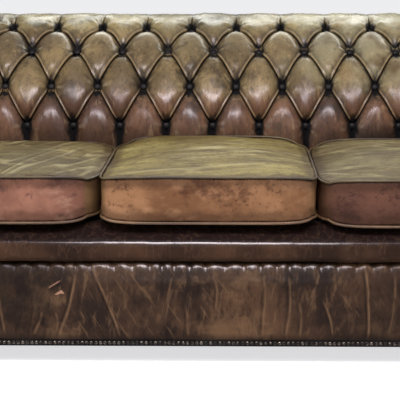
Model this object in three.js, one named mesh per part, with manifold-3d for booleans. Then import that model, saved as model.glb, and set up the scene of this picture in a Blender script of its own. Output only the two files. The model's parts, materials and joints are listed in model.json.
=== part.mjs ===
// A three-seat leather sofa with a deep-buttoned, rolled back and arms, in millimetres.
// +Z is up, the sofa faces -Y, and the origin is on the floor under the middle of the sofa.
import * as THREE from "three";
import { mergeVertices } from "three/addons/utils/BufferGeometryUtils.js";
import Module from "manifold-3d";

const wasm = await Module();
wasm.setup();

// ---- Driving dimensions ----

const seatWidth = 1500; // between the two inside arms
const seatCount = 3;
const cushionWidth = seatWidth / seatCount;
const overallDepth = 928;
const overallHeight = 774;
const fit = 0.5; // clearance between soft pieces that lie against each other

const footHeight = 50;
const footRadius = 44;
const dustCoverThickness = 1.5;
const railThickness = 28;
const railBottom = footHeight + dustCoverThickness;
const railTop = 244;

const frontFace = -460; // the flat front of the border and the arm facings
const facingThickness = 14;
const boardThickness = 20;
const boardFront = frontFace + facingThickness;
const boardBack = boardFront + boardThickness;
const baseHalfWidth = 978; // outside of the side rails
const baseBack = 400; // outside of the back rail
const panelThickness = 5; // leather over card on the outside arms and back
const panelTop = 636;

const cushionBottom = 330;
const cushionEdgeTop = 438;
const cushionCrown = 22;
const cushionFront = -452;
const cushionBack = 72;
const coverThickness = 3;

// The back and arms share one section. Its h runs outwards from the lowest row of buttons.
const buttonRowBack = 111; // y of that row on the back
const buttonRowArm = seatWidth / 2 + 35; // x of that row on the arms
const armNarrowing = 0.68; // an arm is this much slimmer than the back beyond the row
const padInner = -35; // h of the padded inner face
const padThickness = 50;
const padBottom = railTop + 12; // clear of the springs
const shoulderHeight = 470; // where the upright face starts to lean out
const shoulderPower = 1.75; // below 2 gives a flatter shoulder than an ellipse
const rollCentre = 278; // h of the roll's centre line
const rollRadius = 75;
const rollUnderside = 628;
const rollOutside = 295.5; // h where the roll meets the outside panel
const topRailTop = 668;
const topRailBottom = 640;
const liningEnd = 135; // h where the lining reaches the height of the top rail

// ---- Materials ----

function finish(colour, roughness, metalness = 0) {
  return new THREE.MeshStandardMaterial({ color: colour, roughness, metalness });
}

const oliveLeather = finish(0x7f7050, 0.45);
const seatLeather = finish(0x998e62, 0.45);
const darkLeather = finish(0x4e3b2e, 0.35);
const beech = finish(0xc9a878, 0.7);
const darkBeech = finish(0x3a2418, 0.4);
const springSteel = finish(0x8a8d90, 0.35, 1);
const hessianCloth = finish(0xa88b5e, 0.95);
const deckCloth = finish(0x3b3129, 0.9);
const cushionFoam = finish(0xd8cba6, 0.9);
const cambric = finish(0x1b1b1c, 0.95);
const antiqueBrass = finish(0x4a4034, 0.35, 1);

// ---- Helpers ----

const sofa = new THREE.Group();

function add(name, geometry, material) {
  const mesh = new THREE.Mesh(geometry, material);
  mesh.name = name;
  sofa.add(mesh);
  return mesh;
}

function block(name, material, [x0, x1], [y0, y1], [z0, z1]) {
  const mesh = add(name, new THREE.BoxGeometry(x1 - x0, y1 - y0, z1 - z0), material);
  mesh.position.set((x0 + x1) / 2, (y0 + y1) / 2, (z0 + z1) / 2);
  return mesh;
}

// Extrusions of an outline, without turning the mesh, so that its coordinates stay exact.
const alongX = new THREE.Matrix4().set(0, 0, 1, 0, 1, 0, 0, 0, 0, 1, 0, 0, 0, 0, 0, 1);
const alongY = new THREE.Matrix4().set(1, 0, 0, 0, 0, 0, -1, 0, 0, 1, 0, 0, 0, 0, 0, 1);

function prism(points, depth) {
  const options = { depth, bevelEnabled: false, steps: 1 };
  return new THREE.ExtrudeGeometry(new THREE.Shape(points), options);
}

function prismX(yzPoints, x0, x1) {
  return prism(yzPoints, x1 - x0).applyMatrix4(alongX).translate(x0, 0, 0);
}

function prismY(xzPoints, y0, y1) {
  return prism(xzPoints, y1 - y0).applyMatrix4(alongY).translate(0, y1, 0);
}

function prismZ(xyPoints, z0, z1) {
  return prism(xyPoints, z1 - z0).translate(0, 0, z0);
}

function points(...pairs) {
  return pairs.map(([a, b]) => new THREE.Vector2(a, b));
}

function solid(geometry) {
  const bare = geometry.clone();
  bare.deleteAttribute("normal");
  bare.deleteAttribute("uv");
  const merged = mergeVertices(bare, 1e-3);
  const mesh = new wasm.Mesh({
    numProp: 3,
    vertProperties: new Float32Array(merged.attributes.position.array),
    triVerts: new Uint32Array(merged.index.array),
  });
  return new wasm.Manifold(mesh);
}

function geometryOf(manifold) {
  const mesh = manifold.getMesh();
  const geometry = new THREE.BufferGeometry();
  geometry.setAttribute("position", new THREE.BufferAttribute(mesh.vertProperties, 3));
  geometry.setIndex(new THREE.BufferAttribute(mesh.triVerts, 1));
  return geometry;
}

function cylinderZ(x, y, radius, z0, z1, sides = 16) {
  const cylinder = new THREE.CylinderGeometry(radius, radius, z1 - z0, sides);
  return cylinder.rotateX(Math.PI / 2).translate(x, y, (z0 + z1) / 2);
}

const sides = [
  { side: "left", sign: -1 },
  { side: "right", sign: 1 },
];

// ---- The section of the back and arms ----

// The shoulder: a quarter of a superellipse, from the upright face up to the crest.
// An inset moves it inwards, through the padding.
function shoulder(inset, steps) {
  const across = rollCentre - padInner - inset;
  const up = overallHeight - shoulderHeight - inset;
  const power = 2 / shoulderPower;
  const curve = [];
  for (let i = 0; i <= steps; i++) {
    const t = ((Math.PI / 2) * i) / steps;
    const h = rollCentre - across * Math.max(Math.cos(t), 0) ** power;
    curve.push(new THREE.Vector2(h, shoulderHeight + up * Math.sin(t) ** power));
  }
  return curve;
}

// The roll, from just past the crest round to its underside.
function roll(steps) {
  const curve = [];
  const lastAngle = -60;
  const height = overallHeight - rollRadius;
  for (let i = 1; i <= steps; i++) {
    const angle = THREE.MathUtils.degToRad(90 + ((lastAngle - 90) * i) / steps);
    const h = rollCentre + rollRadius * Math.cos(angle);
    curve.push(new THREE.Vector2(h, height + rollRadius * Math.sin(angle)));
  }
  return curve;
}

// The back of the padding, where it lies on the hessian and over the top rail.
function padLining(inset) {
  const top = topRailTop + 1 + padThickness - inset;
  const rising = shoulder(inset, 12).filter((p) => p.y < top);
  return [...points([padInner + inset, padBottom]), ...rising];
}

function padSection() {
  const notch = rollOutside - panelThickness;
  const railCover = topRailTop + 1;
  return [
    ...points([padInner, padBottom]),
    ...shoulder(0, 12),
    ...roll(10),
    ...points(
      [300, rollUnderside],
      [rollOutside, rollUnderside],
      [rollOutside, panelTop + 2],
      [notch, panelTop + 2],
      [notch, railCover],
      [liningEnd, railCover],
    ),
    ...padLining(padThickness).reverse(),
  ];
}

const onBack = (p) => new THREE.Vector2(buttonRowBack + p.x, p.y);
const armX = (h) => buttonRowArm + (h > 0 ? armNarrowing * h : h);
const onArm = (sign) => (p) => new THREE.Vector2(sign * armX(p.x), p.y);

// Mirroring an outline turns it round, so a left-hand one is put back in order.
function armOutline(section, sign) {
  const placed = section.map(onArm(sign));
  return sign < 0 ? placed.reverse() : placed;
}

// Plan of the mitre between back and arm: the two meet where their h is the same.
const rollEnd = rollCentre + rollRadius;
const cornerInner = [armX(padInner), buttonRowBack + padInner];
const cornerRow = [buttonRowArm, buttonRowBack];
const cornerOuter = [armX(rollEnd), buttonRowBack + rollEnd];
const cornerRounding = 120;
const beyond = 40; // how far the cutting shapes run past the sofa
const farWidth = cornerOuter[0] + beyond;
const farBack = cornerOuter[1] + beyond;
const farTop = overallHeight + beyond;

function backPlan() {
  const half = [cornerOuter, cornerRow, cornerInner];
  const rightSide = half.map(([x, y]) => [x - fit, y]);
  const leftSide = half.map(([x, y]) => [-x + fit, y]).reverse();
  const [xOuter] = cornerOuter;
  const plan = points(...leftSide, [-xOuter, farBack], [xOuter, farBack], ...rightSide);
  return prismZ(plan.reverse(), 0, farTop);
}

function armPlan(sign) {
  const [xIn, yIn] = cornerInner;
  const [xRow, yRow] = cornerRow;
  const [xOut, yOut] = cornerOuter;
  const plan = points(
    [sign * (xIn - beyond), boardFront],
    [sign * (xOut + beyond), boardFront],
    [sign * (xOut + beyond), yOut],
    [sign * xOut, yOut],
    [sign * xRow, yRow],
    [sign * xIn, yIn],
    [sign * (xIn - beyond), yIn],
  );
  return prismZ(sign < 0 ? plan.reverse() : plan, 0, farTop);
}

// The plan of the whole sofa, with its two rear corners rounded.
function roundedPlan() {
  const [x, y] = cornerOuter;
  const r = cornerRounding;
  const plan = new THREE.Path();
  plan.moveTo(-x, frontFace);
  plan.lineTo(x, frontFace);
  plan.lineTo(x, y - r);
  plan.absarc(x - r, y - r, r, 0, Math.PI / 2);
  plan.lineTo(-x + r, y);
  plan.absarc(-x + r, y - r, r, Math.PI / 2, Math.PI);
  return prismZ(plan.getPoints(5), 0, farTop);
}

// ---- Frame: beech rails, posts and blocks ----

const railFront = boardBack;
const railFrontInside = railFront + railThickness;
const backRailFront = baseBack - railThickness;
const sideRailInside = baseHalfWidth - railThickness;
const seatBackRailFront = 100;
const stretcherTop = 131.5;
const blockTop = 111.5;
const blockLeg = 100;
const postWidth = 45;
const postDepth = 60;
const topRailFront = buttonRowBack + 200;
const stud = { radius: 4, up: 45, down: 30 };
const footX = 915;
const footFrontY = -385;
const footBackY = 345;

const footPlaces = sides.flatMap(({ side, sign }) => [
  { name: `front_${side}`, x: sign * footX, y: footFrontY, sign, toBack: 1 },
  { name: `back_${side}`, x: sign * footX, y: footBackY, sign, toBack: -1 },
]);

function studHole(x, y) {
  const z0 = footHeight - stud.down - fit;
  const z1 = railBottom + stud.up + fit;
  return solid(cylinderZ(x, y, stud.radius + 0.3, z0, z1));
}

function seatFrame() {
  const wide = [-sideRailInside, sideRailInside];
  const tall = [railBottom, railTop];
  block("front_rail", beech, wide, [railFront, railFrontInside], tall);
  block("back_rail", beech, wide, [backRailFront, baseBack], tall);
  const seatBackRail = [seatBackRailFront, seatBackRailFront + railThickness];
  block("seat_back_rail", beech, wide, seatBackRail, [stretcherTop, railTop]);
  for (const { side, sign } of sides) {
    const x = [sign * sideRailInside, sign * baseHalfWidth].sort((a, b) => a - b);
    block(`side_rail_${side}`, beech, x, [railFront, baseBack], tall);
    const middle = (sign * cushionWidth) / 2;
    const stretcher = [middle - railThickness / 2, middle + railThickness / 2];
    const run = [railFrontInside, backRailFront];
    block(`seat_stretcher_${side}`, beech, stretcher, run, [railBottom, stretcherTop]);
  }
  for (const place of footPlaces) {
    const x = place.sign * sideRailInside;
    const y = place.toBack > 0 ? railFrontInside : backRailFront;
    const corner = points([x, y], [x - place.sign * blockLeg, y], [x, y + place.toBack * blockLeg]);
    const turned = place.sign * place.toBack > 0 ? corner.reverse() : corner;
    const wedge = solid(prismZ(turned, railBottom, blockTop));
    const drilled = wedge.subtract(studHole(place.x, place.y));
    add(`corner_block_${place.name}`, geometryOf(drilled), beech);
  }
}

function backFrame() {
  const rail = [topRailFront, baseBack - 1];
  block("back_top_rail", beech, [-baseHalfWidth, baseHalfWidth], rail, [topRailBottom, topRailTop]);
  const y = [backRailFront - postDepth, backRailFront];
  for (const { side, sign } of sides) {
    const post = [sign * (sideRailInside - postWidth), sign * sideRailInside].sort((a, b) => a - b);
    block(`back_post_${side}`, beech, post, y, [blockTop, topRailBottom]);
    const middle = (sign * cushionWidth) / 2;
    const upright = [middle - postWidth / 2, middle + postWidth / 2];
    block(`back_upright_${side}`, beech, upright, y, [stretcherTop, topRailBottom]);
  }
}

// The scroll board stands at the front of each arm and carries its top rail.
function scrollBoard(sign) {
  const outside = baseHalfWidth - 1;
  const lining = padLining(padThickness + fit).filter((p) => p.y > padBottom + 1);
  const top = topRailTop + fit;
  const inner = seatWidth / 2 + fit;
  const underPad = armX(padInner + padThickness + fit);
  const section = [
    ...points([inner, railBottom], [inner, railTop], [underPad, railTop]),
    ...lining.map((p) => new THREE.Vector2(armX(p.x), p.y)),
    ...points([outside - 1, top], [outside - 1, panelTop], [outside, panelTop]),
    ...points([outside, railBottom]),
  ];
  const placed = section.map((p) => new THREE.Vector2(sign * p.x, p.y));
  return prismY(sign > 0 ? placed.reverse() : placed, boardFront, boardBack);
}

function armFrames() {
  for (const { side, sign } of sides) {
    add(`arm_scroll_board_${side}`, scrollBoard(sign), beech);
    const top = [sign * 922, sign * (baseHalfWidth - 2)].sort((a, b) => a - b);
    block(`arm_top_rail_${side}`, beech, top, [boardBack, topRailFront], [topRailBottom, topRailTop]);
    const tack = [sign * 800, sign * (800 + railThickness)].sort((a, b) => a - b);
    const run = [railFrontInside, seatBackRailFront];
    block(`arm_tack_rail_${side}`, beech, tack, run, [railTop - 40, railTop]);
  }
}

// ---- Springs: zig-zag wires from the front rail to the seat back rail ----

const springCount = 9;
const springWire = 1.9;
const springHalfWidth = 24;
const springWaves = 7;
const springRise = 19;
const springFront = -408;
const springBack = 112;

class ZigZag extends THREE.Curve {
  constructor(x) {
    super();
    this.x = x;
  }

  getPoint(t, target = new THREE.Vector3()) {
    const sway = springHalfWidth * Math.sin(2 * Math.PI * springWaves * t);
    const y = THREE.MathUtils.lerp(springFront, springBack, t);
    const rise = springRise * Math.sin(Math.PI * t);
    return target.set(this.x + sway, y, railTop + springWire + 0.4 + rise);
  }
}

function springs() {
  const wireSides = 5;
  const section = [];
  for (let i = 0; i < wireSides; i++) {
    const angle = (2 * Math.PI * i) / wireSides;
    section.push(new THREE.Vector2(Math.cos(angle), Math.sin(angle)).multiplyScalar(springWire));
  }
  const spacing = seatWidth / springCount;
  for (let i = 0; i < springCount; i++) {
    const x = (i - (springCount - 1) / 2) * spacing;
    const options = { steps: springWaves * 6, extrudePath: new ZigZag(x), bevelEnabled: false };
    const wire = new THREE.ExtrudeGeometry(new THREE.Shape(section), options);
    add(`seat_spring_${i + 1}`, wire, springSteel);
  }
}

// ---- Seat deck, front lip and front border ----

const deckHalfWidth = seatWidth / 2 - 2;
const deckFront = -398;
const deckBack = 74;
const hessianZ = 268;
const clothThickness = 1.5;
const deckTop = 327;
const lipBottom = railTop + 0.3;
const lipNose = -overallDepth / 2;
const springRoom = railTop + 7; // the lip clears the ends of the springs

function seatDeck() {
  const x = [-deckHalfWidth, deckHalfWidth];
  const y = [deckFront, deckBack];
  block("seat_hessian", hessianCloth, x, y, [hessianZ, hessianZ + clothThickness]);
  block("seat_deck_pad", deckCloth, x, y, [hessianZ + clothThickness, deckTop]);
}

// A stuffed roll along the front edge: flat on the rail, with a nose that stands forward.
function seatLip() {
  const noseHeight = 286;
  const outline = new THREE.Path();
  outline.moveTo(deckFront - fit, springRoom);
  outline.lineTo(deckFront - fit, deckTop);
  outline.lineTo(deckFront - 30, deckTop);
  outline.bezierCurveTo(lipNose + 20, deckTop, lipNose, noseHeight + 24, lipNose, noseHeight);
  outline.bezierCurveTo(lipNose, noseHeight - 16, lipNose + 6, lipBottom, lipNose + 18, lipBottom);
  outline.lineTo(railFront, lipBottom);
  outline.lineTo(railFront + 6, springRoom);
  add("seat_lip", prismX(outline.getPoints(6), -deckHalfWidth, deckHalfWidth), darkLeather);
}

// The padded border below the lip, over the front rail, rounded in at its top seam.
function frontBorder() {
  const top = railTop;
  const rounding = 16;
  const back = railFront - fit;
  const outline = new THREE.Path();
  outline.moveTo(back, footHeight);
  outline.lineTo(back, top);
  outline.lineTo(frontFace + rounding, top);
  outline.absarc(frontFace + rounding, top - rounding, rounding, Math.PI / 2, Math.PI);
  outline.lineTo(frontFace, footHeight);
  add("front_border", prismX(outline.getPoints(5), -seatWidth / 2, seatWidth / 2), darkLeather);
}

// ---- Padded back and arms ----

function paddedBack() {
  const whole = solid(prismX(padSection().map(onBack).reverse(), -farWidth, farWidth));
  const cut = whole.intersect(solid(backPlan())).intersect(solid(roundedPlan()));
  add("inside_back", geometryOf(cut), oliveLeather);
  const near = padLining(padThickness + fit);
  const far = padLining(padThickness + fit + clothThickness);
  const sheet = [...near, ...far.reverse()].map(onBack);
  const width = seatWidth / 2 - 10;
  add("back_hessian", prismX(sheet.reverse(), -width, width), hessianCloth);
}

function paddedArms() {
  for (const { side, sign } of sides) {
    const outline = armOutline(padSection(), sign).reverse();
    const whole = solid(prismY(outline, boardFront + fit, farBack));
    const cut = whole.intersect(solid(armPlan(sign))).intersect(solid(roundedPlan()));
    add(`inside_arm_${side}`, geometryOf(cut), oliveLeather);
  }
}

// The flat front of an arm: the whole scroll outline down to the base.
function armFacings() {
  const outside = baseHalfWidth + panelThickness;
  for (const { side, sign } of sides) {
    const scroll = [...shoulder(0, 12), ...roll(10)].map((p) => new THREE.Vector2(armX(p.x), p.y));
    const inner = seatWidth / 2 + fit;
    scroll[0].x = inner;
    const section = [
      ...points([inner, footHeight]),
      ...scroll,
      ...points([outside + 3, rollUnderside], [outside, rollUnderside - 8], [outside, footHeight]),
    ];
    const placed = section.map((p) => new THREE.Vector2(sign * p.x, p.y));
    const facing = prismY(sign > 0 ? placed.reverse() : placed, frontFace, boardFront);
    add(`arm_facing_${side}`, facing, darkLeather);
  }
}

function outsidePanels() {
  const z = [footHeight, panelTop];
  const outside = baseHalfWidth + panelThickness;
  for (const { side, sign } of sides) {
    const x = [sign * baseHalfWidth, sign * outside].sort((a, b) => a - b);
    block(`outside_arm_${side}`, darkLeather, x, [boardFront, baseBack], z);
  }
  const y = [baseBack, baseBack + panelThickness];
  block("outside_back", darkLeather, [-outside, outside], y, z);
}

// ---- Seat cushions: a leather cover, open along its zip, over a foam core ----

function cushionOutline(middle, inset) {
  const half = cushionWidth / 2 - 1 - inset;
  const corner = 10;
  const low = cushionBottom + inset;
  const high = cushionEdgeTop - inset;
  const outline = points(
    [middle - half + corner, low],
    [middle + half - corner, low],
    [middle + half, low + corner],
    [middle + half, high - corner],
  );
  const steps = 8;
  for (let i = 0; i <= steps; i++) {
    const across = 1 - (2 * i) / steps;
    const x = middle + across * (half - corner);
    outline.push(new THREE.Vector2(x, high + cushionCrown * (1 - across ** 2)));
  }
  return outline.concat(points([middle - half, high - corner], [middle - half, low + corner]));
}

function cushions() {
  const zip = { halfWidth: 200, bottom: 378, top: 388 };
  ["left", "centre", "right"].forEach((place, i) => {
    const middle = (i - 1) * cushionWidth;
    const outer = solid(prismY(cushionOutline(middle, 0).reverse(), cushionFront, cushionBack));
    const front = cushionFront + coverThickness;
    const back = cushionBack - coverThickness;
    const room = solid(prismY(cushionOutline(middle, coverThickness).reverse(), front, back));
    const slot = new THREE.BoxGeometry(2 * zip.halfWidth, 4 * coverThickness, zip.top - zip.bottom);
    slot.translate(middle, cushionBack, (zip.bottom + zip.top) / 2);
    const cover = outer.subtract(room).subtract(solid(slot));
    add(`cushion_cover_${place}`, geometryOf(cover), seatLeather);
    const core = cushionOutline(middle, coverThickness + fit).reverse();
    add(`cushion_core_${place}`, prismY(core, front + fit, back - fit), cushionFoam);
  });
}

// ---- Feet, studs and dust cover ----

function bunFoot() {
  const profile = new THREE.Path();
  const neck = 30;
  const sole = 27;
  profile.moveTo(0, 0);
  profile.lineTo(sole, 0);
  profile.bezierCurveTo(sole + 9, 3, footRadius, 10, footRadius, 22);
  profile.bezierCurveTo(footRadius, 33, neck + 8, 39, neck, 41);
  profile.lineTo(neck + 5, 43);
  profile.lineTo(neck + 5, footHeight);
  profile.lineTo(0, footHeight);
  return new THREE.LatheGeometry(profile.getPoints(5), 20).rotateX(Math.PI / 2);
}

function feet() {
  for (const { name, x, y } of footPlaces) {
    const foot = solid(bunFoot().translate(x, y, 0)).subtract(studHole(x, y));
    add(`bun_foot_${name}`, geometryOf(foot), darkBeech);
    const z0 = footHeight - stud.down;
    const z1 = railBottom + stud.up;
    add(`foot_stud_${name}`, cylinderZ(x, y, stud.radius, z0, z1, 12), springSteel);
  }
}

function dustCover() {
  const x = baseHalfWidth - 8;
  const sheet = new THREE.BoxGeometry(2 * x, baseBack - railFront - 16, dustCoverThickness);
  sheet.translate(0, (baseBack + railFront) / 2, footHeight + dustCoverThickness / 2);
  const drilled = footPlaces.reduce((s, p) => s.subtract(studHole(p.x, p.y)), solid(sheet));
  add("dust_cover", geometryOf(drilled), cambric);
}

// ---- Banding that carries the row of nails round the base ----

function nailBanding() {
  const thickness = 2;
  const height = 12;
  const x = baseHalfWidth + panelThickness;
  const back = baseBack + panelThickness;
  const depth = back - frontFace;
  const outer = new THREE.BoxGeometry(2 * (x + thickness), depth + 2 * thickness, height);
  const inner = new THREE.BoxGeometry(2 * x, depth, height + 2);
  const ring = solid(outer).subtract(solid(inner));
  const geometry = geometryOf(ring).translate(0, (back + frontFace) / 2, footHeight + height / 2);
  add("nail_banding", geometry, antiqueBrass);
}

seatFrame();
backFrame();
armFrames();
springs();
seatDeck();
seatLip();
frontBorder();
paddedBack();
paddedArms();
armFacings();
outsidePanels();
cushions();
feet();
dustCover();
nailBanding();

export default sofa;
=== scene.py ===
# A worn three-seat leather sofa with a deep-buttoned back and arms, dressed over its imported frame.
# Metres throughout: +Z is up, the front faces -Y, and the origin is on the floor under the middle.
import json
import math

import bpy
import numpy as np
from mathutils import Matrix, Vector


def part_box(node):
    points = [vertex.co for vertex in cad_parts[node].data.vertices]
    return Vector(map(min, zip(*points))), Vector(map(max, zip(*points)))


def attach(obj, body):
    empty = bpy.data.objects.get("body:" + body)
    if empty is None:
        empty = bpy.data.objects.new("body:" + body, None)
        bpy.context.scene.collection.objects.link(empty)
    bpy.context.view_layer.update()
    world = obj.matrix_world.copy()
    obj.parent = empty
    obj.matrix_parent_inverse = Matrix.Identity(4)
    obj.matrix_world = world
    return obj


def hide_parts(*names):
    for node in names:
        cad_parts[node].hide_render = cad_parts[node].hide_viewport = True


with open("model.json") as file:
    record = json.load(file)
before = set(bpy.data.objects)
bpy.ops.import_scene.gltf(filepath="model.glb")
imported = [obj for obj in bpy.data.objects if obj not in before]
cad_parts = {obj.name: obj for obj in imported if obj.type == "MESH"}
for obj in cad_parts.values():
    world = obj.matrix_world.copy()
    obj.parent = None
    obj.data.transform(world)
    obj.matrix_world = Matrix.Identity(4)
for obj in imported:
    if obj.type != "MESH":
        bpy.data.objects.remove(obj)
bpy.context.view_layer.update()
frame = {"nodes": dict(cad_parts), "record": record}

# ---- Floor, lights and camera ----
# A plain pale floor in soft studio light: a square and a long softbox high in front, one above
# and behind the roll of the back, a faint one on the left, and a pale room all round.


def bare_selection():
    """Deselects everything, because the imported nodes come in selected."""
    bpy.ops.object.select_all(action="DESELECT")


def edit_all():
    """Opens the piece in hand for editing, with the whole of it selected."""
    bpy.ops.object.mode_set(mode="EDIT")
    bpy.ops.mesh.select_all(action="SELECT")


def edit_none():
    """Opens the piece in hand for editing, with none of it selected."""
    bpy.ops.object.mode_set(mode="EDIT")
    bpy.ops.mesh.select_all(action="DESELECT")


def stop_editing():
    bpy.ops.object.mode_set(mode="OBJECT")


def smooth(degrees):
    """Shades the piece in hand smooth, except over edges sharper than an angle."""
    bpy.ops.object.shade_smooth_by_angle(angle=math.radians(degrees))


def modify(piece, kind, **settings):
    """Adds a modifier to the piece in hand, and keeps its result."""
    modifier = piece.modifiers.new(kind, kind)
    for name, value in settings.items():
        setattr(modifier, name, value)
    bpy.ops.object.modifier_apply(modifier=modifier.name)


def read_points(piece, value="co"):
    """The points of a piece, or another vector of each, as rows of x, y and z."""
    points = np.empty(3 * len(piece.data.vertices))
    piece.data.vertices.foreach_get(value, points)
    return points.reshape(-1, 3)


def move_points(piece, points):
    """Moves the points of a piece to rows of x, y and z."""
    piece.data.vertices.foreach_set("co", np.asarray(points).ravel())


def softbox(name, place, aim, size, power, tint=(1, 1, 1)):
    """Hangs a rectangular light at place, turned to face aim."""
    bpy.ops.object.light_add(type="AREA", location=place)
    lamp = bpy.context.object
    lamp.name = name
    lamp.rotation_euler = (Vector(aim) - Vector(place)).to_track_quat("-Z", "Y").to_euler()
    lamp.data.shape = "RECTANGLE"
    lamp.data.size, lamp.data.size_y = size
    lamp.data.energy = power
    lamp.data.color = tint


bare_selection()
bpy.ops.mesh.primitive_plane_add(size=300)
floor = bpy.context.object
floor.name = "floor"
floor_paint = bpy.data.materials.new("pale_floor")
floor_paint.use_nodes = True
paint = floor_paint.node_tree.nodes["Principled BSDF"].inputs
paint["Base Color"].default_value = (0.82, 0.82, 0.83, 1)
paint["Roughness"].default_value = 0.8
paint["Emission Color"].default_value = (0.98, 0.98, 1.0, 1)
seen_directly = floor_paint.node_tree.nodes.new("ShaderNodeLightPath").outputs["Is Camera Ray"]
floor_glow = floor_paint.node_tree.nodes.new("ShaderNodeMath")
floor_glow.operation = "MULTIPLY"
floor_glow.inputs[1].default_value = 0.70  # whitens what the camera sees, and lights nothing
floor_paint.node_tree.links.new(seen_directly, floor_glow.inputs[0])
floor_paint.node_tree.links.new(floor_glow.outputs[0], paint["Emission Strength"])
floor.data.materials.append(floor_paint)

softbox("front_softbox", (0.0, -3.0, 3.1), (-0.1, 0.0, 0.45), (1.3, 1.3), 42, (1.0, 0.92, 0.96))
softbox("wide_softbox", (0.0, -2.7, 3.5), (0.0, 0.0, 0.45), (5.0, 0.6), 122, (1.0, 0.88, 0.94))
softbox("roll_softbox", (0.5, 2.2, 2.4), (0.1, 0.2, 0.7), (3.4, 1.0), 40, (0.99, 1.0, 0.93))
softbox("left_softbox", (-3.0, -1.6, 1.6), (0.0, 0.0, 0.4), (1.4, 1.4), 14)
scene = bpy.context.scene
scene.world = bpy.data.worlds.new("pale_room")
scene.world.use_nodes = True
scene.world.node_tree.nodes["Background"].inputs["Color"].default_value = (0.95, 0.97, 1.0, 1)
scene.world.node_tree.nodes["Background"].inputs["Strength"].default_value = 0.2
scene.view_settings.view_transform = "Standard"

bpy.ops.object.camera_add(
    location=(0.061, -3.227, 0.910), rotation=(math.radians(79.34), 0, math.radians(0.80))
)
camera = bpy.context.object
camera.data.lens = 112.2
camera.data.sensor_width = 36
camera.data.shift_x = -0.045
scene.camera = camera

# ---- Inside back ----
# One olive hide drawn down at buttons over curled hair, which stands up in puffs between the
# pleats. It rises behind the cushions, rolls over the top rail and is tacked under the roll.

pitch = 0.125  # between the buttons in a row
button_row = 0.111  # y of the lowest row of buttons on the back
arm_row = 0.785  # x of that row on the arms
arm_narrowing = 0.68  # an arm is this much slimmer than the back beyond the row
pad_face = -0.035  # h of the puffs' faces; h runs outwards from the lowest row
pad_foot = 0.250
crest = 0.774
roll_centre = 0.278
roll_radius = 0.075
shoulder_height = 0.470
shoulder_power = 1.75
button_depth = 0.033
row_heights = (0.485, 0.585, 0.672, 0.721)
row_arching = (0.05, 0.25, 0.55)  # how much the pleats between two rows bow upwards
facets = 18  # rows of the mesh between two rows of buttons


def section_curve(depth):
    """The section at a depth under the puffs, as points (h, z) from the seat to under the roll."""
    quarter = np.linspace(0, math.pi / 2, 80)
    power = 2 / shoulder_power
    across, rise = roll_centre - pad_face - depth, crest - shoulder_height - depth
    face = np.linspace(pad_foot, shoulder_height, 30)[:-1]
    shoulder_h = roll_centre - across * np.cos(quarter).clip(0) ** power
    shoulder_z = shoulder_height + rise * np.sin(quarter) ** power
    turn = np.radians(np.linspace(90, -65, 60))[1:]
    roll_h = roll_centre + (roll_radius - depth) * np.cos(turn)
    roll_z = crest - roll_radius + (roll_radius - depth) * np.sin(turn)
    h = np.concatenate([np.full(len(face), pad_face + depth), shoulder_h, roll_h])
    z = np.concatenate([face, shoulder_z, roll_z])
    return h, z


outer_h, outer_z = section_curve(0)
inner_h, inner_z = section_curve(button_depth)
middle_h, middle_z = (outer_h + inner_h) / 2, (outer_z + inner_z) / 2
climb = np.concatenate([[0], np.cumsum(np.hypot(np.diff(middle_h), np.diff(middle_z)))])
before_crest = slice(0, 105)  # the points of a section before it levels out at the crest
row_climbs = [
    float(np.interp(height, inner_z[before_crest], climb[before_crest])) for height in row_heights
]
top_row = len(row_heights) - 1
first_row, last_row = -1.5, top_row + (climb[-1] - row_climbs[-1]) / pitch


def climb_at(row):
    """How far up the section a place between the rows of buttons lies. Row 0 is the lowest."""
    whole = np.floor(row).clip(0, top_row - 1).astype(int)
    part = (row - whole).clip(0, 1)
    gap = np.diff(row_climbs)[whole]
    arched = part + np.array(row_arching)[whole] * part * (1 - part)
    outside = (row - row.clip(0, top_row)) * pitch
    return np.array(row_climbs)[whole] + gap * arched + outside


def drift(u, v, size_u, size_v, seed):
    """Smooth chance rise and fall from -1 to 1, with its bumps size_u by size_v across."""
    table = np.random.default_rng(seed).uniform(-1, 1, (97, 89))
    x, y = u / size_u, v / size_v
    column, line = np.floor(x).astype(int), np.floor(y).astype(int)
    fx, fy = x - column, y - line
    fx, fy = fx * fx * (3 - 2 * fx), fy * fy * (3 - 2 * fy)

    def corner(dx, dy):
        return table[(column + dx) % 97, (line + dy) % 89]

    low = corner(0, 0) * (1 - fx) + corner(1, 0) * fx
    high = corner(0, 1) * (1 - fx) + corner(1, 1) * fx
    return low * (1 - fy) + high * fy


def peak(distance, width):
    """A smooth bump: 1 at no distance, and almost 0 beyond twice the width."""
    return np.exp(-((distance / width) ** 2))


def swell(distance, reach, power):
    """How far leather has risen at a distance from a pleat: 0 in the pleat, 1 beyond its reach."""
    return 1 - (1 - (distance / reach).clip(0, 1)) ** power


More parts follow.
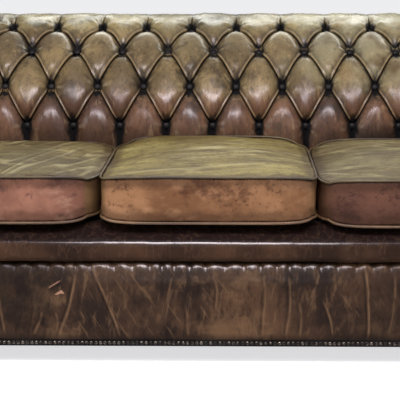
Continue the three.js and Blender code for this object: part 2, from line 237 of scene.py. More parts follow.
def tufting(s, row, seed):
    """The puffs at s pitches along and at a row. Gives their height, from 0 at a button to about
    1, the slip of the leather over the pleats below it, and the marks that the finish reads."""
    held = row.clip(0, top_row)
    a, b = s + held / 2, s - held / 2
    gap = 0.109  # metres between two pleats
    upper, lower = (0.036, 2.1), (0.052, 1.8)  # reach and power of the rise above and below a pleat
    over_a, over_b = (a - np.floor(a)) * gap, (np.ceil(b) - b) * gap
    under_a, under_b = gap - over_a, gap - over_b
    base_row = np.floor(a) - np.ceil(b)
    rising = np.where(base_row >= 0, swell(over_a, *upper) * swell(over_b, *upper), 1)
    falling = np.where(base_row <= top_row - 2, swell(under_a, *lower) * swell(under_b, *lower), 1)
    away = climb_at(row)
    near = np.full(s.shape, np.inf)
    turn = np.zeros(s.shape)
    pit = np.zeros(s.shape)
    for number, place in enumerate(row_climbs):
        shift = (number % 2) / 2
        dx = (s - shift - np.rint(s - shift)) * pitch
        dv = away - place
        reach = np.hypot(dx, dv)
        turn = np.where(reach < near, np.arctan2(dv, dx), turn)
        near = np.minimum(near, reach)
        pit = np.maximum(pit, np.exp(-((dx / 0.0130) ** 2) - ((dv + 0.002) / 0.0300) ** 2))
    loosening = ((away - row_climbs[-1]) / 0.060).clip(0, 1)  # 0 at the buttons, 1 over the roll
    kept = (0.42 + 0.50 * loosening) * (1 - peak(near, 0.030))  # height left in the pleats
    fullness = 1 + 0.07 * np.sin(12.9 * np.floor(a) + 78.2 * np.ceil(b) + seed)  # differs by the puff
    puff = (1 - (1 - rising * falling) ** 1.5) * fullness
    over = np.minimum(over_a, over_b)
    lip = peak(over - 0.0045, 0.0025) - 0.6 * peak(over - 0.010, 0.003)
    lip = np.where(base_row >= 0, lip, 0) * (1 - peak(near, 0.02)) * (1 - loosening)
    rays = np.cos(9 * turn + seed + 5 * np.floor(s)) + 0.6 * np.cos(14 * turn + seed + 3 * np.floor(s))
    pucker = rays * peak(near, 0.025) * (near / 0.008).clip(0, 1)
    pucker *= 0.6 + (row / top_row).clip(0, 1)
    lines = drift(s * pitch, away, 0.006, 0.05, seed + 1) * 0.7
    lines += drift(s * pitch, away, 0.014, 0.06, seed + 2)
    height = kept + (1 - kept) * puff + 0.10 * lip + 0.05 * pucker
    height += 0.032 * lines * puff.clip(0, 1) + 0.06 * drift(s * pitch, away, 0.05, 0.05, seed + 3) * puff
    slip = 0.0048 * (1 - peak(near, 0.018)) * (1 - loosening)
    overhang = 0.006  # the leather slips the most this far above a pleat
    slip_a = np.where(base_row >= 0, slip * over_a / overhang * np.exp(1 - over_a / overhang), 0)
    slip_b = np.where(base_row >= 0, slip * over_b / overhang * np.exp(1 - over_b / overhang), 0)
    aside = (slip_b - slip_a) * 0.88
    down = (slip_a + slip_b) * 0.48
    under = np.minimum(under_a, under_b)
    # pleat, like pit, marks where the finish paints near black: dirt, with painted shade.
    pleat = np.maximum(np.exp(-under / 0.0040), np.exp(-over / 0.0020)) * (1 - 0.85 * loosening)
    upright = peak((s - np.rint(s)) * pitch, 0.0080) * (-row / 0.2).clip(0, 1)
    turned = np.where(base_row >= 0, 1 - loosening, 0)
    # lip_top marks the ridge of leather folded over a pleat, which the finish paints as a highlight;
    # lip_line marks the groove above it, painted as shade.
    lip_top = peak(over - 0.0055, 0.0022) * turned
    lip_line = peak(over - 0.0100, 0.0014) * turned
    # ray and fold mark the ridges and grooves of the puckers round a button, which the finish paints as
    # highlights and shade.
    ring = peak(near - 0.022, 0.011) * (row / 2).clip(0.25, 1)
    marks = {"pleat": np.maximum(pleat, upright), "pit": pit, "puff": puff.clip(0, 1)}
    marks |= {"ray": (rays / 1.6).clip(0, 1) ** 2 * ring, "fold": (-rays / 1.6).clip(0, 1) ** 2 * ring}
    return height, aside, down, marks | {"lip_top": lip_top, "lip_line": lip_line}


corner_start, corner_end = 4.5, 7.0  # columns between these are spread to meet the corner


def corner_of(h):
    """x and y of the corner between back and arm, at h."""
    return arm_row + np.where(h > 0, arm_narrowing * h, h), button_row + h


def corner_round(h):
    """How round the corner is in plan: sharp at the seat and full on the roll."""
    part = ((h - 0.05) / 0.30).clip(0, 1)
    return 0.118 * part * part * (3 - 2 * part)


def round_corner(along, end, radius):
    """Bends the last stretch of a straight run through half of a round corner.
    Gives the place along the run and how far the run falls back from its line."""
    radius = np.maximum(radius, 1e-6)
    angle = ((along - (end - radius)) / radius).clip(0, 1) * math.pi / 4
    bent = end - radius + radius * np.sin(angle)
    return np.where(along > end - radius, bent, along), radius * (1 - np.cos(angle))


def on_back(s, h):
    """Plan of the back: x and y at s pitches from the middle and at h."""
    corner_x, line = corner_of(h)
    size = np.abs(s)
    spread = (size - corner_start) / (corner_end - corner_start)
    start = corner_start * pitch
    along = np.where(spread > 0, start + spread * (corner_x - start), size * pitch)
    along, fall = round_corner(along, corner_x, corner_round(h))
    return np.sign(s) * along, line - fall


def marks_on(piece, marks):
    """Stores each mark on the piece's points, for its material to read."""
    for name, values in marks.items():
        layer = piece.data.attributes.new(name, "FLOAT", "POINT")
        layer.data.foreach_set("value", np.asarray(values, dtype=np.float32))


# h and z of the hidden back of a pad, from under the roll down to its foot.
lining = ((0.287, 0.648), (0.284, 0.668), (0.140, 0.668), (0.045, 0.590), (0.016, 0.480), (0.015, 0.330))


def section_at(row, height, down):
    """h and z of the leather at a row, from the button line (height 0) to the puffs (height 1)."""
    up = climb_at(row) - down
    h = np.interp(up, climb, inner_h) * (1 - height) + np.interp(up, climb, outer_h) * height
    z = np.interp(up, climb, inner_z) * (1 - height) + np.interp(up, climb, outer_z) * height
    return h, z


def gather(value):
    """Draws mesh lines closer together beside whole numbers, where the pleats are."""
    return value - 0.6 * np.sin(2 * math.pi * value) / (2 * math.pi)


def buttoned_pad(name, first, last, plan, seed, ease):
    """A closed, stuffed pad from column first to last, laid out by plan(s, h).
    ease(s) flattens the puffs where the pad ends in a seam."""
    columns = round((last - first) * 2 * facets)
    seen = round((last_row - first_row) * facets)
    rows = seen + len(lining) + 1
    bare_selection()
    bpy.ops.mesh.primitive_grid_add(x_subdivisions=columns, y_subdivisions=rows, size=1)
    pad = bpy.context.object
    pad.name = name
    place = read_points(pad)
    i, j = np.rint((place[:, 0] + 0.5) * columns), np.rint((place[:, 1] + 0.5) * rows).astype(int)
    s, row = first + i / (2 * facets), first_row + np.minimum(j, seen) / facets
    held = row.clip(0, top_row)
    a, b = gather(s + held / 2), gather(s - held / 2)
    s, row = (a + b) / 2, row - held + (a - b)
    height, aside, down, marks = tufting(s, row, seed)
    height = height * ease(s)
    h, z = section_at(row, height, down)
    for number, (lining_h, lining_z) in enumerate(lining):
        behind = j == seen + 1 + number
        h[behind], z[behind] = lining_h, lining_z
    first_line = j == 0
    last_line = j == rows
    h[last_line], z[last_line] = h[first_line], z[first_line]
    x, y = plan(s + np.where(j > seen, 0, aside / pitch), h)
    move_points(pad, np.stack([x, y, z], axis=1))
    marks_on(pad, marks)
    split_along_pleats(pad, i, j, first)
    close_up()
    smooth(75)
    return pad


def close_up():
    """Joins the long edges of a rolled-up grid, fills its two ends and turns its faces outwards."""
    edit_all()
    bpy.ops.mesh.remove_doubles(threshold=1e-6)
    bpy.ops.mesh.select_all(action="DESELECT")
    bpy.ops.mesh.select_non_manifold()
    bpy.ops.mesh.fill()
    bpy.ops.mesh.select_all(action="SELECT")
    bpy.ops.mesh.normals_make_consistent(inside=False)
    stop_editing()


def split_along_pleats(pad, i, j, first):
    """Cuts each square of the mesh in two along the nearer pleat, so that no pleat is jagged."""
    step = 2 * facets
    offset = (first + first_row / 2) * step, (first - first_row / 2) * step
    corners = np.empty(4 * len(pad.data.polygons), dtype=int)
    pad.data.polygons.foreach_get("vertices", corners)
    corners = corners.reshape(-1, 4)
    sum_line = (i + j)[corners].mean(axis=1) + offset[0]
    difference_line = (i - j)[corners].mean(axis=1) + offset[1]
    to_a = np.abs(sum_line - step * np.rint(sum_line / step))
    to_b = np.abs(difference_line - step * np.rint(difference_line / step))
    falling = to_a < to_b
    starts_low = np.isclose((i - j)[corners[:, 0]], (i - j)[corners[:, 2]])
    edit_none()
    stop_editing()
    pad.data.polygons.foreach_set("select", falling != starts_low)
    bpy.ops.object.mode_set(mode="EDIT")
    bpy.ops.mesh.quads_convert_to_tris(quad_method="FIXED")
    bpy.ops.mesh.select_all(action="SELECT")
    bpy.ops.mesh.quads_convert_to_tris(quad_method="FIXED_ALTERNATE")
    stop_editing()


def back_ease(s):
    """Sinks the ends of the back into the corner pleats."""
    return 0.25 + 0.75 * swell((corner_end - np.abs(s)) * pitch, 0.05, 2)


back = buttoned_pad("inside_back_leather", -corner_end, corner_end, on_back, 3, back_ease)
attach(back, "root")
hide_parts("inside_back")


class Wire:
    """One output among a material's nodes. Arithmetic on it adds Math nodes."""

    def __init__(self, socket):
        self.socket = socket

    def node(self, kind, settings=None, inputs=None, output=0):
        """Adds a node. Its settings are made first, and then its sockets are set or linked."""
        tree = self.socket.id_data
        made = tree.nodes.new("ShaderNode" + kind)
        for name, value in (settings or {}).items():
            setattr(made, name, value)
        for name, value in (inputs or {}).items():
            if isinstance(value, Wire):
                tree.links.new(value.socket, made.inputs[name])
            else:
                made.inputs[name].default_value = value
        return Wire(made.outputs[output])

    def math(self, operation, *operands):
        return self.node("Math", {"operation": operation}, dict(enumerate(operands)))

    def __add__(self, other):
        return self.math("ADD", self, other)

    def __sub__(self, other):
        return self.math("SUBTRACT", self, other)

    def __rsub__(self, other):
        return self.math("SUBTRACT", other, self)

    def __mul__(self, other):
        return self.math("MULTIPLY", self, other)

    __radd__ = __add__
    __rmul__ = __mul__

    def between(self, low, high):
        """Turns the value into 0 at low and 1 at high, with a smooth change. Low may be the larger."""
        inputs = {"Value": self, "From Min": low, "From Max": high}
        return self.node("MapRange", {"interpolation_type": "SMOOTHSTEP"}, inputs)

    def mix(self, off, on):
        """A colour: off where this is 0, on where it is 1."""
        return self.node("Mix", {"data_type": "RGBA"}, {0: self, 6: off, 7: on}, output=2)

    def noise(self, scale, detail=3, stretch=(1, 1, 1), roughness=0.55):
        spread = self.node("Mapping", inputs={"Vector": self, "Scale": stretch})
        inputs = {"Vector": spread, "Scale": scale, "Detail": detail, "Roughness": roughness}
        return self.node("TexNoise", inputs=inputs)

    def waves(self, axis, scale, distortion):
        """Threads side by side along one axis."""
        inputs = {"Vector": self, "Scale": scale, "Distortion": distortion}
        return self.node("TexWave", {"bands_direction": axis}, inputs)

    def relief(self, strength, distance, height):
        """The shader's normals over a relief of some height."""
        inputs = {"Strength": strength, "Distance": distance, "Height": height}
        return self.node("Bump", inputs=inputs)

    def leaning(self, angle):
        """The place turned about Y, so that a pattern on it leans to one side."""
        return self.node("Mapping", inputs={"Vector": self, "Rotation": (0, angle, 0)})

    def mark(self, name):
        """A mark that the mesh carries, from 0 to 1."""
        return self.node("Attribute", {"attribute_name": name}, output=2)

    def part(self, axis):
        """One part, 0 to 2, of a vector."""
        return self.node("SeparateXYZ", inputs={"Vector": self}, output=axis)


def dye(red, green, blue):
    """A colour given as it looks, on a scale of 255."""
    return tuple(((value / 255 + 0.055) / 1.055) ** 2.4 for value in (red, green, blue)) + (1,)


def new_finish(name, constants):
    """A material, and the wire with the coordinates of the piece that wears it."""
    finish = bpy.data.materials.new(name)
    finish.use_nodes = True
    nodes = finish.node_tree.nodes
    for socket, value in constants.items():
        nodes["Principled BSDF"].inputs[socket].default_value = value
    return finish, Wire(nodes.new("ShaderNodeTexCoord").outputs["Object"])


def feed(finish, wires):
    """Links wires to the shader's sockets."""
    shader = finish.node_tree.nodes["Principled BSDF"]
    for socket, wire in wires.items():
        finish.node_tree.links.new(wire.socket, shader.inputs[socket])


def worn_hide(place, light, dark, stain):
    """The colour of a used hide: cloudy, with small dark stains in patches."""
    cloud = place.noise(6, 6, roughness=0.6).between(0.36, 0.66)
    colour = cloud.mix(dark, light)
    patches = place.noise(8, 3).between(0.48, 0.62)
    specks = place.noise(70, 5, roughness=0.7).between(0.56, 0.70)
    return (patches * specks * 0.75).mix(colour, stain)


def hide_grain(place, creases):
    """The relief of a hide: fine pores and cells under the creases that a section adds."""
    cells = place.node("TexVoronoi", {"feature": "DISTANCE_TO_EDGE"}, {"Vector": place, "Scale": 380})
    pores = place.noise(900, 2)
    height = cells.between(0, 0.12) * 0.25 + pores * 0.12 + creases
    return place.relief(0.8, 0.0008, height)


def crease_lines(place, scale, stretch):
    """Fine open creases: 0 in a line, 1 away from it."""
    ridge = place.noise(scale, 3, stretch) - 0.5
    return ridge.math("ABSOLUTE", ridge).between(0, 0.035)


def buttoned_finish():
    """Olive hide, redder low down, pale on the roll partly as a painted highlight, and black in the
    pleats and round the buttons as dirt with painted shade.
    """
    finish, place = new_finish("olive_hide", {"Coat Roughness": 0.24, "Specular IOR Level": 0.25})
    height = place.part(2)
    wobble = (place.noise(14, 3) - 0.5) * 0.06
    olive = worn_hide(place, dye(154, 135, 92), dye(106, 90, 60), dye(40, 32, 24))
    low = worn_hide(place, dye(132, 98, 72), dye(92, 64, 46), dye(36, 24, 18))
    pale = worn_hide(place, dye(180, 170, 114), dye(138, 127, 80), dye(66, 58, 38))
    colour = (height + wobble).between(0.600, 0.540).mix(olive, low)
    # The roll is paler: partly its worn colour, partly a painted highlight of the light from above.
    colour = ((height + wobble).between(0.715, 0.765) * 0.85).mix(colour, pale)
    streaks = crease_lines(place, 52, (1, 1, 0.22))
    colour = ((1 - streaks) * 0.35).mix(colour, dye(50, 40, 28))
    rubs = place.noise(62, 5, (1, 1, 0.16), 0.6).between(0.55, 0.70)
    colour = (rubs * 0.38).mix(colour, dye(190, 164, 120))
    wear = place.noise(70, 5, (1, 1, 0.20), 0.65).between(0.46, 0.32)
    colour = (wear * 0.45).mix(colour, dye(46, 36, 27))
    # Painted highlights on the pucker ridges round the buttons, and painted shade in their grooves.
    colour = (place.mark("ray") * 0.85).mix(colour, dye(214, 204, 166))
    colour = (place.mark("fold") * 0.85).mix(colour, dye(30, 24, 19))
    soot = place.noise(11, 5, (1, 1, 0.7), 0.65).between(0.52, 0.66)
    colour = (soot * 0.60).mix(colour, dye(38, 31, 24))
    # Darker just above the seat: grime, with painted shade where the cushions meet the back.
    colour = ((height + wobble).between(0.500, 0.435) * 0.50).mix(colour, dye(38, 26, 18))
    # Paler olive-grey on the right of the middle rows.
    paler_on_right = place.part(0).between(0.10, 0.36) * height.between(0.560, 0.640)
    colour = (paler_on_right * place.noise(15, 4).between(0.35, 0.60) * 0.45).mix(colour, dye(184, 182, 142))
    handled = place.part(0).between(-0.24, -0.08) * place.part(0).between(0.16, 0.02)
    colour = (handled * height.between(0.640, 0.690) * 0.35).mix(colour, dye(62, 60, 42))
    # Near black low on the right, behind the right cushion: grime, with painted shade.
    corner = place.part(0).between(0.30, 0.42) * height.between(0.520, 0.450)
    colour = (corner * 0.85).mix(colour, dye(24, 17, 13))
    pleat, pit = place.mark("pleat"), place.mark("pit")
    # Darker down the flanks of the puffs towards the pleats: dirt, with painted shade in the hollows.
    hollow_soil_and_shade = place.mark("puff").between(0.80, 0.15) * place.noise(34, 5, roughness=0.65).between(0.38, 0.62)
    colour = (hollow_soil_and_shade * 0.7).mix(colour, dye(34, 28, 22))
    # A painted highlight on the lip of leather folded over each pleat, and painted shade in the groove
    # above it.
    colour = (place.mark("lip_top") * 0.50).mix(colour, dye(184, 160, 116))
    colour = (place.mark("lip_line") * 0.70).mix(colour, dye(30, 24, 19))
    # Near black in the pleats and in a halo round each button: dirt, with painted shade in the pleats and
    # pits.
    pleat_dirt_and_shade = pleat.between(0.10, 0.60)
    halo = (pit + (place.noise(110, 4, (1, 1, 0.4)) - 0.5) * 0.9).between(0.08, 0.52)
    colour = pleat_dirt_and_shade.mix(colour, dye(12, 10, 10))
    colour = halo.mix(colour, dye(12, 12, 13))
    rough = place.noise(30, 4) * 0.25 + 0.30 + pleat_dirt_and_shade * 0.25 + halo * 0.2
    shine = (1 - pleat_dirt_and_shade) * (1 - halo) * (place.noise(16, 5, (1, 1, 0.5)).between(0.36, 0.60) * 0.75 + 0.25)
    relief = hide_grain(place, streaks * 0.5 + rubs * 0.3)
    feed(finish, {"Base Color": colour, "Roughness": rough, "Coat Weight": shine, "Normal": relief})
    return finish


olive_hide = buttoned_finish()
back.data.materials.append(olive_hide)

# ---- Inside arms ----
# Each is a hide like the back's, buttoned the same way over a slimmer roll. It meets the back
# in a deep corner pleat and is tacked under the scroll of the facing in front.

arm_end = 5.5  # columns from the corner to the facing
arm_spread = 3.5  # the columns nearer the corner than this are spread to meet it
arm_front = -0.4455


def plan_of_arm(side):
    """The plan of the left (-1) or right (1) arm: x and y at s pitches from the corner and at h."""

    def on_arm(s, h):
        line, corner_y = corner_of(h)
        size = np.abs(s)
        start = arm_front + (arm_end - arm_spread) * pitch
        spread = start + (1 - size / arm_spread) * (corner_y - start)
        along = np.where(size < arm_spread, spread, arm_front + (arm_end - size) * pitch)
        along, fall = round_corner(along, corner_y, corner_round(h))
        return side * (line - fall), along

    return on_arm


def arm_ease(s):
    """Sinks the arm into the corner pleat, and a little where it reaches the facing."""
    size = np.abs(s)
    corner = 0.25 + 0.75 * swell(size * pitch, 0.05, 2)
    return corner * (0.80 + 0.20 * swell((arm_end - size) * pitch, 0.03, 2))


for side, side_name in ((-1, "left"), (1, "right")):
    first, last = sorted((0, side * arm_end))
    arm_name = f"inside_arm_{side_name}_leather"
    arm = buttoned_pad(arm_name, first, last, plan_of_arm(side), 11 + side, arm_ease)
    arm.data.materials.append(olive_hide)
    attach(arm, "root")
    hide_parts(f"inside_arm_{side_name}")

# ---- Buttons ----
# Small domes of the same hide over metal blanks, each drawn in by a twine through the stuffing.

button_radius = 0.0100
button_dome = 0.55  # height of a button's crown against its radius
button_seat = 0.13  # height of the leather under a button, on the scale of the puffs
bare_selection()
bpy.ops.mesh.primitive_uv_sphere_add(segments=14, ring_count=9, radius=button_radius)
button = bpy.context.object
edit_all()
bpy.ops.transform.resize(value=(1, 1, button_dome))
stop_editing()
bpy.ops.object.shade_smooth()


def join_copies(name, copies):
    """Makes one piece of placed copies, with their places in its mesh."""
    bare_selection()
    for copy in copies:
        copy.select_set(True)
    bpy.context.view_layer.objects.active = copies[0]
    bpy.ops.object.join()
    bpy.ops.object.transform_apply(location=True, rotation=True, scale=True)
    joined = bpy.context.object
    joined.name = name
    return joined


def set_buttons(name, places, plan):
    """Joins a button for each (column, row), set on the leather and facing straight out of it."""
    copies = []
    for s, row in places:
        at = np.array([float(s)]), np.array([float(row)])
        base_h, base_z = section_at(at[1], np.array([button_seat]), 0)
        face_h, face_z = section_at(at[1], np.array([1.0]), 0)
        foot = Vector([float(part[0]) for part in (*plan(at[0], base_h), base_z)])
        face = Vector([float(part[0]) for part in (*plan(at[0], face_h), face_z)])
        copy = button.copy()
        copy.data = button.data.copy()
        bpy.context.collection.objects.link(copy)
        copy.rotation_euler = (face - foot).to_track_quat("Z", "Y").to_euler()
        copy.location = foot
        copies.append(copy)
    joined = join_copies(name, copies)
    joined.data.materials.append(button_hide)
    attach(joined, "root")


button_hide, place = new_finish("button_hide", {"Specular IOR Level": 0.3})
soiled = worn_hide(place, dye(24, 23, 23), dye(14, 13, 14), dye(8, 8, 8))
feed(button_hide, {"Base Color": soiled, "Roughness": place.noise(200, 2) * 0.3 + 0.38})
lattice = [(column + (row % 2) / 2, row) for row in range(top_row + 1) for column in range(-7, 7)]
set_buttons("back_buttons", [(s, row) for s, row in lattice if abs(s) < corner_end - 0.6], on_back)
for side, side_name in ((-1, "left"), (1, "right")):
    places = [(s, row) for s, row in lattice if 0.4 < side * s < arm_end - 0.2]
    set_buttons(f"arm_{side_name}_buttons", places, plan_of_arm(side))
bpy.data.objects.remove(button)

# ---- Seat cushions ----
# Three loose box cushions: a hide top and bottom joined by a strip round the sides, sewn with a
# piped seam along each edge, and filled with a crowned foam core. Years of use have creased them.

cushion_half_width = 0.2475
cushion_spacing = 0.5
cushion_depth = 0.524
cushion_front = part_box("cushion_cover_centre")[0][1]
seam_low, seam_high = 0.334, 0.439  # heights of the two piped seams in front
cell = 0.0085  # size of the squares that the cloth is reckoned with
cloth_frames = 20
most_swelling = 0.026  # no point of a cover swells further than this
top_piping, bottom_piping = 0.0027, 0.0034  # radii


def cut_along(axis, cuts):
    """Divides a box's edges that run along one axis."""
    mesh = bpy.context.object.data
    bpy.ops.mesh.select_mode(type="EDGE")
    bpy.ops.mesh.select_all(action="DESELECT")
    stop_editing()
    for edge in mesh.edges:
        start, end = (mesh.vertices[vertex].co for vertex in edge.vertices)
        along = abs((end - start).normalized()[axis])
        edge.select = along > 0.9
    bpy.ops.object.mode_set(mode="EDIT")
    bpy.ops.mesh.subdivide(number_cuts=cuts)


def swollen(piece, held, pressure):
    """Fills a cover with pressure as cloth does, with the held points fixed, and keeps the result."""
    before = read_points(piece)
    group = piece.vertex_groups.new(name="held")
    for index, weight in enumerate(held):
        if weight > 0:
            group.add([index], float(weight), "REPLACE")
    cloth = piece.modifiers.new("Cloth", "CLOTH")
    cloth.settings.quality = 5
    cloth.settings.mass = 0.3
    cloth.settings.tension_stiffness = 30
    cloth.settings.compression_stiffness = 30
    cloth.settings.bending_stiffness = 3
    cloth.settings.use_pressure = True
    cloth.settings.uniform_pressure_force = pressure
    cloth.settings.vertex_group_mass = group.name
    cloth.settings.effector_weights.gravity = 0
    cloth.point_cache.frame_start = 1
    cloth.point_cache.frame_end = cloth_frames
    for number in range(1, cloth_frames + 1):
        scene.frame_set(number)
    bare_selection()
    piece.select_set(True)
    bpy.context.view_layer.objects.active = piece
    bpy.ops.object.modifier_apply(modifier=cloth.name)
    scene.frame_set(1)
    move = read_points(piece) - before
    length = np.linalg.norm(move, axis=1, keepdims=True).clip(1e-9)
    move *= np.minimum(1, most_swelling / length)
    move_points(piece, before + move)
    piece.vertex_groups.clear()


def piping(name, rings):
    """Round piping along closed rings of points, joined in one piece. A ring is (points, radius)."""
    line = bpy.data.curves.new(name, "CURVE")
    line.dimensions = "3D"
    line.bevel_depth = 1
    line.bevel_resolution = 2
    for ring, radius in rings:
        spline = line.splines.new("POLY")
        spline.points.add(len(ring) - 1)
        spline.points.foreach_set("co", np.column_stack([ring, np.ones(len(ring))]).ravel())
        spline.points.foreach_set("radius", np.full(len(ring), radius))
        spline.use_cyclic_u = True
    piece = bpy.data.objects.new(name, line)
    bpy.context.collection.objects.link(piece)
    bare_selection()
    piece.select_set(True)
    bpy.context.view_layer.objects.active = piece
    bpy.ops.object.convert(target="MESH")
    bpy.ops.object.shade_smooth()
    return bpy.context.object


def seat_cushion(name, middle, shape, seed):
    """One cushion about x = middle. shape says how each of its ends droops, how high it sits, how it
    is creased and how deeply."""
    bare_selection()
    bpy.ops.mesh.primitive_cube_add(size=2)
    cushion = bpy.context.object
    cushion.name = name
    half = np.array([cushion_half_width, cushion_depth / 2, (seam_high - seam_low) / 2])
    bpy.ops.object.mode_set(mode="EDIT")
    for axis in range(3):
        cut_along(axis, int(2 * half[axis] / cell))
    stop_editing()
    u, v, w = read_points(cushion).T
    side = np.where(u < 0, shape["left_droop"], shape["right_droop"])
    front_corner = np.where(u < 0, shape["left_corner"], shape["right_corner"])
    power = np.where(v < 0, front_corner, 7.0)
    outermost = np.maximum(np.abs(u), np.abs(v))
    drawn_in = outermost / (np.abs(u) ** power + np.abs(v) ** power + 1e-30) ** (1 / power)
    drawn_in = np.where(outermost > 0, drawn_in, 1)
    x = half[0] * u * drawn_in
    y = half[1] * v * drawn_in
    droop = np.where(w > 0, -side, 0.011) * np.abs(u) ** 7 * (0.6 - 0.4 * v)
    rise = shape["back_rise"] * (v * 0.5 + 0.5) ** 1.5 * (1 - 0.75 * np.abs(u) ** 5) * (w > 0)
    crown = 0.010 * (1 - np.abs(u) ** 5) * (1 - np.abs(v) ** 5) * (w > 0)
    z = half[2] * w + (droop + rise + crown) * np.abs(w)
    start = np.stack([x, y, z], axis=1)
    move_points(cushion, start)
    on_edge = (np.abs(w) > 0.999) & (np.maximum(np.abs(u), np.abs(v)) > 0.999)
    upright = (np.abs(u) > 0.999) & (np.abs(v) > 0.999)
    resting = (w < -0.999) * 1.0
    held = np.maximum(np.maximum(on_edge * 1.0, upright * 0.5), resting)
    rings = []
    for level in (1, -1):
        ring = start[on_edge & (w * level > 0)]
        rings.append(ring[np.argsort(np.arctan2(ring[:, 1] / half[1], ring[:, 0] / half[0]))])
    swollen(cushion, held, shape["pressure"])
    boxing = ((np.abs(w) < 0.999) | on_edge).astype(float)
    marks_on(cushion, {"boxing": boxing, "end": np.abs(u) ** 34 * boxing})
    modify(cushion, "SUBSURF", levels=1, render_levels=1)
    crease_cushion(cushion, rings, shape, seed)
    centre_z = (seam_low + seam_high) / 2 + shape["lift"]
    offset = np.array([middle, cushion_front + cushion_depth / 2, centre_z])
    move_points(cushion, read_points(cushion) + offset)
    bpy.ops.object.shade_smooth()
    rings = [ring * (1.004, 1.004, 1.01) + offset for ring in rings]
    cord = piping(f"{name}_piping", zip(rings, (top_piping, bottom_piping)))
    return cushion, cord


def crease_cushion(cushion, rings, shape, seed):
    """Presses creases into the top, gathers beside the seams and scuffs into a cushion."""
    points, normals = read_points(cushion), read_points(cushion, "normal")
    x, y, z = points.T
    turn = math.radians(shape["crease_angle"])
    along, across = x * math.cos(turn) + y * math.sin(turn), y * math.cos(turn) - x * math.sin(turn)
    soft = drift(across, along, 0.022, 0.20, seed)
    fine = drift(across, along, 0.008, 0.11, seed + 1)
    bending = drift(x, y, 0.13, 0.13, seed + 2)
    where = (drift(x, y, 0.16, 0.2, seed + 3) * 0.6 + 0.5 + shape["crease_side"] * x / 0.25).clip(0, 1)
    folds = (1 - np.abs(soft) * 4.5).clip(0, 1) ** 2
    top = normals[:, 2].clip(0, 1) ** 2
    relief = top * shape["creasing"] * where * (0.0009 * fine + 0.0028 * folds - 0.0010 * soft)
    relief += top * 0.0038 * bending
    nearest = np.full(len(points), np.inf)
    for ring in rings:
        for stitch in ring:
            nearest = np.minimum(nearest, np.linalg.norm(points - stitch, axis=1))
    gathers = drift(x + y, z, 0.011, 0.05, seed + 4)
    beside = peak(nearest, 0.022)
    relief += 0.0011 * gathers * beside
    relief += (1 - top) * 0.0016 * drift(x + y, z, 0.05, 0.035, seed + 5)
    move_points(cushion, points + normals * relief[:, None])
    # valley marks where the finish paints shade beside the creases.
    valleys = peak(soft - 0.30, 0.13)
    marks = {"fold": folds * where * top, "valley": valleys * where * top * shape["creasing"] / 1.3}
    marks |= {"seam": peak(nearest, 0.008), "edge": peak(nearest, 0.028)}
    marks_on(cushion, marks)


cushion_shapes = {
    "left": {
        "left_droop": 0.004,
        "right_droop": 0.010,
        "left_corner": 10.0,
        "right_corner": 6.0,
        "back_rise": 0.006,
        "lift": 0.0,
        "pressure": 3.2,
        "crease_angle": 71,
        "crease_side": 0.5,
        "creasing": 1.3,
        "top": ((148, 136, 90), (104, 94, 60)),
        "front": ((180, 130, 106), (136, 96, 78)),
        "pale": (200, 158, 132),
        "bruise": (80, 54, 50),
        "olive_ends": 0.75,
    },
    "centre": {
        "left_droop": 0.004,
        "right_droop": 0.006,
        "left_corner": 18.0,
        "right_corner": 14.0,
        "back_rise": 0.022,
        "lift": 0.0,
        "pressure": 4.0,
        "crease_angle": 14,
        "crease_side": 0.2,
        "creasing": 0.5,
        "top": ((166, 154, 92), (128, 115, 66)),
        "front": ((172, 130, 92), (126, 90, 60)),
        "pale": (194, 152, 114),
        "bruise": (78, 48, 34),
        "olive_ends": 0.45,
    },
    "right": {
        "left_droop": 0.010,
        "right_droop": 0.005,
        "left_corner": 7.0,
        "right_corner": 10.0,
        "back_rise": 0.022,
        "lift": -0.007,
        "pressure": 3.4,
        "crease_angle": -25,
        "crease_side": -0.4,
        "creasing": 0.8,
        "top": ((146, 136, 94), (104, 94, 64)),
        # The side shades below are darker than the other cushions': painted shade on the right of the
        # seat.
        "front": ((112, 78, 62), (76, 50, 40)),
        "pale": (124, 90, 74),
        "bruise": (46, 30, 27),
        "olive_ends": 0.15,
    },
}


